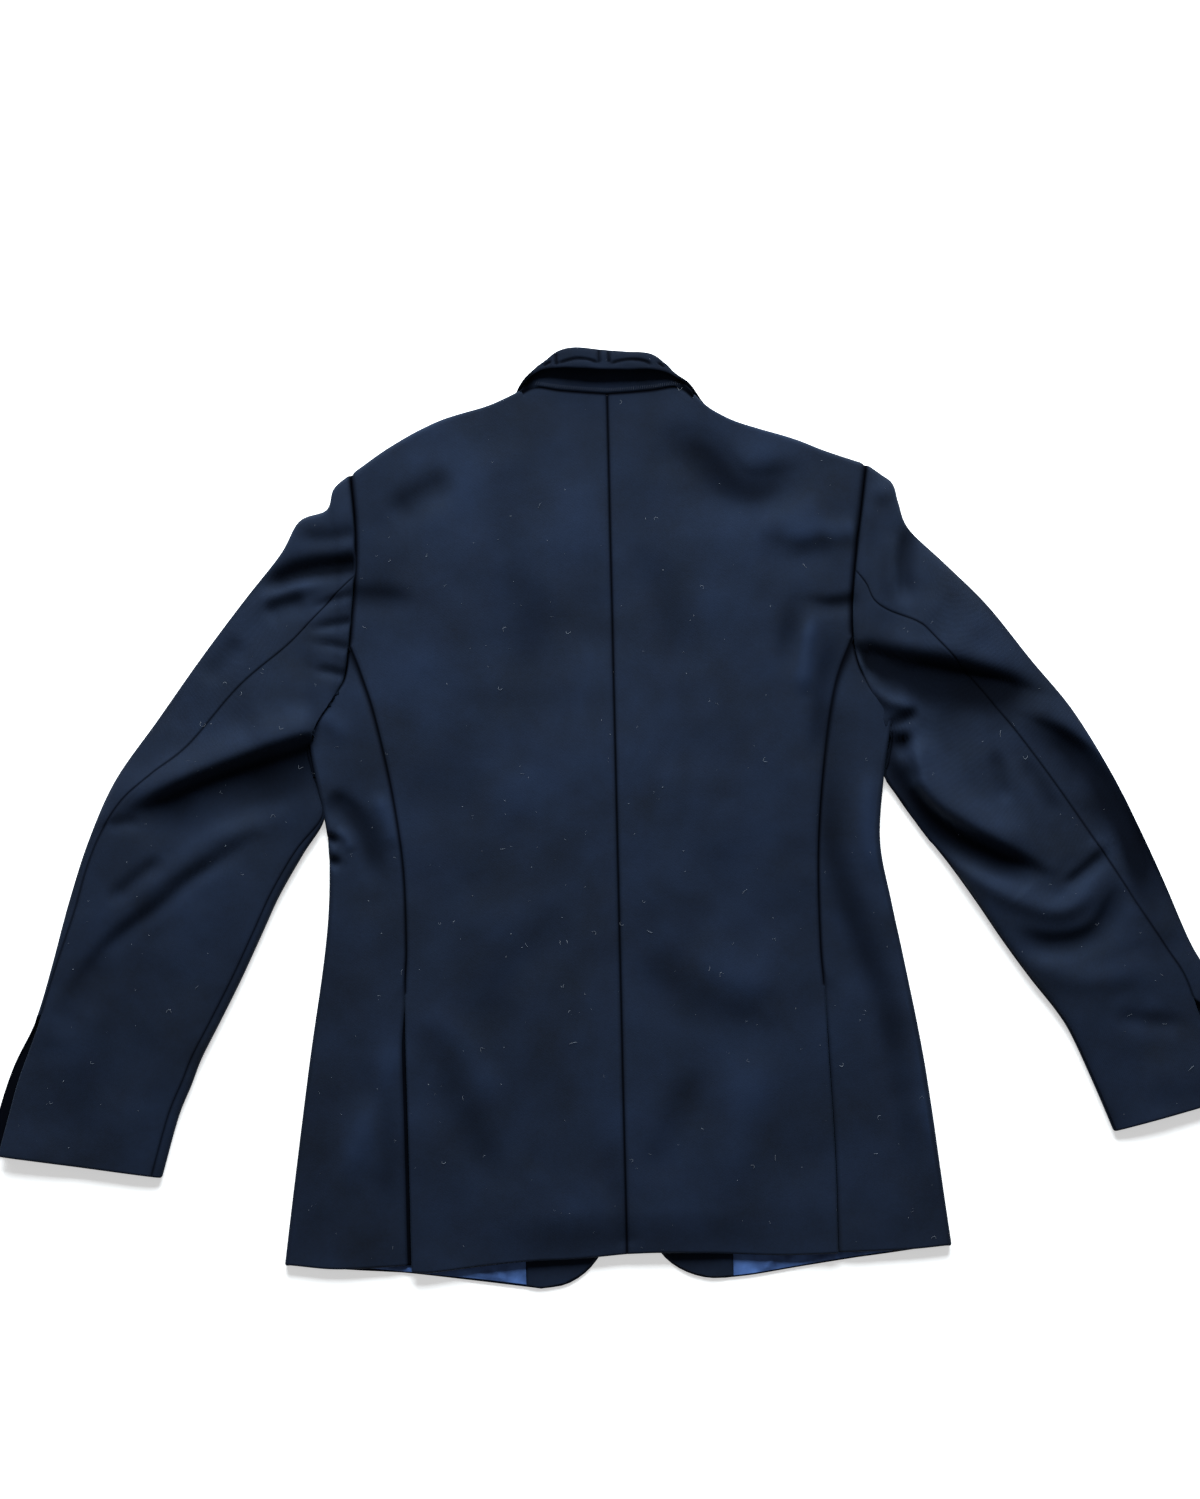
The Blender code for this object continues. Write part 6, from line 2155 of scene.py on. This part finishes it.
def inputs_of(tree: bpy.types.NodeTree, sizes: dict[str, tuple[str, object]]) -> Graph:
    """Name the inputs of a geometry tree.

    Args:
        tree: the new tree.
        sizes: for each input, its socket type and its value at first.

    Returns:
        The tree as a graph.
    """
    face = tree.interface
    face.new_socket("Geometry", in_out="INPUT", socket_type="NodeSocketGeometry")
    for name, (kind, value) in sizes.items():
        socket = face.new_socket(name, in_out="INPUT", socket_type=kind)
        if value is not None:
            socket.default_value = value
    face.new_socket("Geometry", in_out="OUTPUT", socket_type="NodeSocketGeometry")
    return Graph(tree)


def grown(name: str, tree: bpy.types.NodeTree, carrier: bpy.types.Object,
          values: dict[str, object]) -> bpy.types.Object:
    """Run a geometry tree on a carrier and keep the plain result.

    Args:
        name: the name of the result.
        tree: the geometry tree.
        carrier: the lines or points that it starts from, which are used up.
        values: the tree's inputs, by name.

    Returns:
        The plain piece.
    """
    modifier = carrier.modifiers.new(name, "NODES")
    modifier.node_group = tree
    for item in tree.interface.items_tree:
        if item.in_out == "INPUT" and item.name in values:
            modifier[item.identifier] = values[item.name]
    return settled(carrier, name)


def carrier_of(name: str, points: Array, edges: list[tuple[int, int]],
               marks: dict[str, Array] | None = None) -> bpy.types.Object:
    """Make the bare lines or points that a geometry tree starts from."""
    mesh = bpy.data.meshes.new(name)
    mesh.from_pydata(place(points).tolist(), edges, [])
    for key, values in (marks or {}).items():
        layer = mesh.attributes.new(key, "FLOAT", "POINT")
        layer.data.foreach_set("value", np.asarray(values, np.float32))
    carrier = bpy.data.objects.new(name, mesh)
    bpy.context.scene.collection.objects.link(carrier)
    return carrier


@dataclass
class Stitches:
    """Rows of stitches along lines of the cloth."""

    pitch: float = 2.4
    length: float = 2.0
    radius: float = 0.16
    slant: float = 0.0          # degrees off the line
    arch: float = 0.25          # how far the middle of a stitch stands up
    wander: float = 5.0         # degrees that a stitch may stray

    def tree(self) -> bpy.types.NodeTree:
        """Build the tree: each line is spaced out and a small arched bar set at each point."""
        tree = bpy.data.node_groups.new("stitch_row", "GeometryNodeTree")
        graph = inputs_of(tree, {
            "Pitch": ("NodeSocketFloat", 0.0024), "Length": ("NodeSocketFloat", 0.002),
            "Radius": ("NodeSocketFloat", 0.00016), "Slant": ("NodeSocketFloat", 0.0),
            "Arch": ("NodeSocketFloat", 0.00025), "Wander": ("NodeSocketFloat", 0.08),
            "Seed": ("NodeSocketInt", 7), "Material": ("NodeSocketMaterial", None),
        })
        given = tree.nodes.new("NodeGroupInput")
        feed = {socket.name: Tap(graph, socket) for socket in given.outputs}
        line = graph.node("GeometryNodeMeshToCurve", None, {"Mesh": feed["Geometry"]})
        line = graph.node("GeometryNodeResampleCurve", {"mode": "LENGTH"},
                          {"Curve": line, "Length": feed["Pitch"]})
        ends = [graph.node("ShaderNodeCombineXYZ", None, {"X": feed["Length"] * side})
                for side in (-0.5, 0.5)]
        middle = graph.node("ShaderNodeCombineXYZ", None, {"Z": feed["Arch"] * 2.0})
        bar = graph.node("GeometryNodeCurveQuadraticBezier", None,
                         {"Resolution": 5, "Start": ends[0], "Middle": middle,
                          "End": ends[1]})
        ring = graph.node("GeometryNodeCurvePrimitiveCircle", None,
                          {"Resolution": 5, "Radius": feed["Radius"]})
        bar = graph.node("GeometryNodeCurveToMesh", None,
                         {"Curve": bar, "Profile Curve": ring, "Fill Caps": True})
        way = graph.node("GeometryNodeInputTangent")
        stray = graph.node("FunctionNodeRandomValue", {"data_type": "FLOAT"},
                           {2: -1.0, 3: 1.0, "Seed": feed["Seed"]}, 1)
        angle = feed["Slant"] + stray * feed["Wander"]
        way = graph.node("ShaderNodeVectorRotate", {"rotation_type": "Z_AXIS"},
                         {"Vector": way, "Angle": angle})
        turn = graph.node("FunctionNodeAlignRotationToVector", {"axis": "X",
                                                                "pivot_axis": "Z"},
                          {"Vector": way})
        row = graph.node("GeometryNodeInstanceOnPoints", None,
                         {"Points": line, "Instance": bar, "Rotation": turn})
        row = graph.node("GeometryNodeRealizeInstances", None, {"Geometry": row})
        row = graph.node("GeometryNodeSetMaterial", None,
                         {"Geometry": row, "Material": feed["Material"]})
        graph.node("NodeGroupOutput", None, {"Geometry": row})
        return tree

    def sew(self, name: str, lines: list[Array], thread: bpy.types.Material
            ) -> bpy.types.Object:
        """Sew along lines given in millimetres, and return the piece."""
        edges, start = [], 0
        for line in lines:
            edges += [(start + k, start + k + 1) for k in range(len(line) - 1)]
            start += len(line)
        carrier = carrier_of(name + "_lines", np.vstack(lines), edges)
        return grown(name, self.tree(), carrier, {
            "Pitch": self.pitch * MM, "Length": self.length * MM,
            "Radius": self.radius * MM, "Slant": math.radians(self.slant),
            "Arch": self.arch * MM, "Wander": math.radians(self.wander), "Seed": 7,
            "Material": thread,
        })


@dataclass
class Lint:
    """Stray pale fibres, specks and curled hairs caught in the nap."""

    specks: int = 230
    hairs: int = 120
    seed: int = 5
    radius: float = 0.08
    across: Point = (-545, 550)     # the part of the plan that it is scattered over
    up: Point = (-745, 30)
    least_height: float = 6.0       # it lies on cloth at least this high
    # The longest ones: place on the plan and turn in degrees, size
    laid: tuple[tuple[float, float, float, float], ...] = (
        (-387, -521, 20, 1.3), (-92, -201, 70, 1.2), (486, -590, 40, 1.4),
        (263, -730, 10, 1.1), (-352, -276, 120, 1.3), (26, -462, 150, 1.2),
        (2, -455, 150, 1.0), (-48, -470, 150, 1.9), (-42, -556, 10, 1.6),
        (86, -500, 60, 1.1), (208, -536, 30, 1.1), (108, -430, 40, 1.2),
        (-120, -560, 70, 1.1), (250, -210, 100, 1.3), (-60, -96, 60, 1.2),
        (128, -318, 140, 1.2), (-300, -232, 45, 1.1), (330, -300, 80, 1.3),
    )

    def shapes(self, graph: Graph, radius: Tap) -> Tap:
        """Return a bar, a hook, a curl and a speck, as instances to pick from."""
        ring = graph.node("GeometryNodeCurvePrimitiveCircle", None,
                          {"Resolution": 3, "Radius": radius})
        bends = (
            ((-0.0022, 0, 0.0002), (0.0, 0.0008, 0.0012), (0.0022, 0.0002, 0.0003), 5),
            ((-0.0020, 0, 0.0002), (0.0022, 0.0030, 0.0012), (0.0014, -0.0014, 0.0003), 8),
            ((-0.0004, 0, 0.0001), (0.0, 0.0002, 0.0005), (0.0004, 0.0001, 0.0001), 3),
        )
        lines = [graph.node("GeometryNodeCurveQuadraticBezier", None,
                            {"Start": start, "Middle": middle, "End": end,
                             "Resolution": steps}) for start, middle, end, steps in bends]
        curl = graph.node("GeometryNodeCurveArc", None,
                          {"Resolution": 12, "Radius": 0.0017, "Sweep Angle": 4.4})
        lines.insert(2, curl)
        joined = graph.tree.nodes.new("GeometryNodeJoinGeometry")
        for line in reversed(lines):
            tube = graph.node("GeometryNodeCurveToMesh", None,
                              {"Curve": line, "Profile Curve": ring, "Fill Caps": True})
            one = graph.node("GeometryNodeGeometryToInstance", None, {0: tube})
            graph.tree.links.new(one.socket, joined.inputs[0])
        return Tap(graph, joined.outputs[0])

    def tree(self) -> bpy.types.NodeTree:
        """Build the tree: a fibre at each point, picked, turned and sized by its marks."""
        tree = bpy.data.node_groups.new("lint", "GeometryNodeTree")
        graph = inputs_of(tree, {"Radius": ("NodeSocketFloat", 0.0001),
                                 "Seed": ("NodeSocketInt", 5),
                                 "Material": ("NodeSocketMaterial", None)})
        given = tree.nodes.new("NodeGroupInput")
        feed = {socket.name: Tap(graph, socket) for socket in given.outputs}
        marks = {key: graph.node("GeometryNodeInputNamedAttribute",
                                 {"data_type": "FLOAT"}, {"Name": key})
                 for key in ("kind", "turn", "size")}
        lean = graph.node("FunctionNodeRandomValue", {"data_type": "FLOAT"},
                          {2: -0.25, 3: 0.25, "Seed": feed["Seed"]}, 1)
        spin = graph.node("ShaderNodeCombineXYZ", None, {"X": lean, "Z": marks["turn"]})
        spin = graph.node("FunctionNodeEulerToRotation", None, {"Euler": spin})
        laid = graph.node("GeometryNodeInstanceOnPoints", None,
                          {"Points": feed["Geometry"],
                           "Instance": self.shapes(graph, feed["Radius"]),
                           "Pick Instance": True, "Instance Index": marks["kind"],
                           "Rotation": spin, "Scale": marks["size"]})
        laid = graph.node("GeometryNodeRealizeInstances", None, {"Geometry": laid})
        laid = graph.node("GeometryNodeSetMaterial", None,
                          {"Geometry": laid, "Material": feed["Material"]})
        graph.node("NodeGroupOutput", None, {"Geometry": laid})
        return tree

    def lay(self, surface_tree: BVHTree, fibre: bpy.types.Material) -> bpy.types.Object:
        """Scatter the lint over the surface that faces up.

        Args:
            surface_tree: the faces that it lies on.
            fibre: its finish.

        Returns:
            The piece.
        """
        chance = np.random.default_rng(self.seed)
        points, kind, turn, size = [], [], [], []
        for x, y, angle, big in self.laid:
            points.append(drop(surface_tree, x, y))
            kind.append(len(points) % 3)
            turn.append(math.radians(angle))
            size.append(big)
        wanted = len(points) + self.specks + self.hairs
        while len(points) < wanted:
            x, y = chance.uniform(*self.across), chance.uniform(*self.up)
            spot = drop(surface_tree, x, y)
            speck = len(points) < len(self.laid) + self.specks
            draw = chance.uniform(size=3)
            if spot[2] < self.least_height:
                continue
            points.append(spot)
            kind.append(3 if speck else int(draw[0] * 2.6))
            turn.append(draw[1] * 2 * math.pi)
            size.append((0.5 + draw[2] * 1.1) if speck else (0.35 + draw[2] * 0.75))
        carrier = carrier_of("lint_points", np.array(points), [],
                             {"kind": np.array(kind), "turn": np.array(turn),
                              "size": np.array(size)})
        return grown("lint", self.tree(), carrier,
                     {"Radius": self.radius * MM, "Seed": self.seed, "Material": fibre})


# ---------------------------------------------------------------- the studio


@dataclass
class Studio:
    """A pale floor, soft light from beyond the collar, and the camera above."""

    view_middle: Point = (-13.1, -305.6)
    view_long: float = 1.286        # what the long side of the view spans, in metres
    distance: float = 2.4
    turn: float = -1.33
    floor_size: float = 7.0
    floor_drop: float = 0.0003
    looked_at: Point = (0.0, -360.0)
    film: float = 36.0
    sky: float = 0.12
    lamp_power: float = 315.0
    lamp_size: float = 2.0
    lamp_place: tuple[float, float, float] = (0.05, 2.76, 1.62)

    def build(self) -> None:
        """Set the floor, the lights, the surroundings and the camera."""
        self.floor()
        self.light("key", self.lamp_place, self.lamp_power, self.lamp_size)
        self.surroundings()
        self.camera()

    def floor(self) -> None:
        """Lay the floor just under the garment."""
        s = self.floor_size
        corners = np.array([(-s, -s, 0), (s, -s, 0), (s, s, 0), (-s, s, 0)])
        corners[:, 2] = ORIGIN[2] - self.floor_drop
        floor = mesh_object("floor", corners, np.array([[0, 1, 2, 3]]), Paper().make())
        floor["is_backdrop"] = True

    def light(self, name: str, spot: tuple[float, float, float], power: float,
              size: float) -> None:
        """Hang a soft square lamp that looks at the middle of the garment."""
        data = bpy.data.lights.new(name, "AREA")
        data.energy, data.size, data.shape = power, size, "SQUARE"
        data.color = (0.9, 0.97, 1.0)
        lamp = bpy.data.objects.new(name, data)
        middle = Vector(place(np.array([*self.looked_at, 0.0])))
        lamp.location = middle + Vector(spot)
        lamp.rotation_euler = (middle - lamp.location).to_track_quat("-Z", "Y").to_euler()
        bpy.context.scene.collection.objects.link(lamp)

    def surroundings(self) -> None:
        """Light everything evenly from a white room."""
        world = bpy.data.worlds.new("white_room")
        world.use_nodes = True
        back = world.node_tree.nodes["Background"]
        back.inputs["Color"].default_value = (1.0, 0.99, 0.98, 1.0)
        back.inputs["Strength"].default_value = self.sky
        bpy.context.scene.world = world
        bpy.context.scene.view_settings.view_transform = "Standard"
        bpy.context.scene.view_settings.look = "None"

    def camera(self) -> None:
        """Look straight down."""
        data = bpy.data.cameras.new("camera")
        data.sensor_fit, data.sensor_width = "AUTO", self.film
        data.lens = self.film * self.distance / self.view_long
        data.clip_start, data.clip_end = 0.05, 50.0
        camera = bpy.data.objects.new("camera", data)
        spot = place(np.array([*self.view_middle, 5.0]))
        camera.location = (spot[0], spot[1], spot[2] + self.distance)
        camera.rotation_euler = (0.0, 0.0, math.radians(self.turn))
        bpy.context.scene.collection.objects.link(camera)
        bpy.context.scene.camera = camera


# ---------------------------------------------------------------- putting it together


def declare(piece: bpy.types.Object, node: str) -> None:
    """Stand a piece of cloth in for its node."""
    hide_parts(node)
    add(piece)


def add(piece: bpy.types.Object) -> None:
    """Let a small piece ride with the garment."""
    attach(piece, "root")
    LOG.info("%s: %d faces", piece.name, len(piece.data.polygons))


def upper_surface(pieces: list[bpy.types.Object]) -> BVHTree:
    """Return the faces of pieces as one tree to drop points on."""
    verts, faces, start = [], [], 0
    for piece in pieces:
        verts += [vert.co.copy() for vert in piece.data.vertices]
        faces += [[start + k for k in face.vertices] for face in piece.data.polygons]
        start = len(verts)
    return BVHTree.FromPolygons(verts, faces)


def main() -> None:
    """Build the blazer and its studio."""
    logging.basicConfig(level=logging.INFO, format="%(name)s %(message)s")
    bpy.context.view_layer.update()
    wool, satin, horn = Wool().make(), Satin().make(), Horn().make()
    thread = Yarn("navy_thread", (0.008, 0.013, 0.026), (0.018, 0.032, 0.066)).make()
    fibre = Yarn("pale_lint", (0.10, 0.12, 0.16), (0.30, 0.34, 0.40)).make()
    form = Form(relief=BODY_RELIEF)
    bodies = {half: Body(form, half) for half in Half}
    lapels, inside, collar = Lapels(), Inside(), Collar(form)
    made = {}
    for half, body in bodies.items():
        cuts = [body.back(), body.front(), body.side(), *Sleeve(body).pieces(),
                lapels.piece(half), inside.facing(half)]
        for cloth in cuts:
            piece = cloth.build(wool)
            declare(piece, cloth.name)
            made[cloth.name] = piece
        cloth = inside.lining(half)
        made[cloth.name] = cloth.build(satin)
        declare(made[cloth.name], cloth.name)
    for cloth in (collar.stand(*bodies.values()), collar.leaf()):
        made[cloth.name] = cloth.build(wool)
        declare(made[cloth.name], cloth.name)
    shown = upper_surface([made[name] for name in made
                           if name.startswith(("back", "side", "top", "under", "collar"))])
    stand = upper_surface([made["collar_stand"]])
    add(Stitches(pitch=1.9, length=3.0, radius=0.17, slant=72, arch=0.3).sew(
        "stand_stitches", [collar.stitches(*bodies.values(), stand)], thread))
    add(Stitches(pitch=3.2, length=1.3, radius=0.14, arch=0.15).sew(
        "lapel_stitches", [lapels.edge_line(half) for half in Half], thread))
    lines = []
    for name in BUTTONS:
        button = Button(name)
        piece = button.build(horn)
        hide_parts(name)
        add(piece)
        lines += button.thread_lines()
    add(Stitches(pitch=0.32, length=3.4, radius=0.16, slant=90, arch=-0.1, wander=3).sew(
        "button_thread", lines, thread))
    add(Lint().lay(shown, fibre))
    Studio().build()


if __name__ == "__main__":
    main()
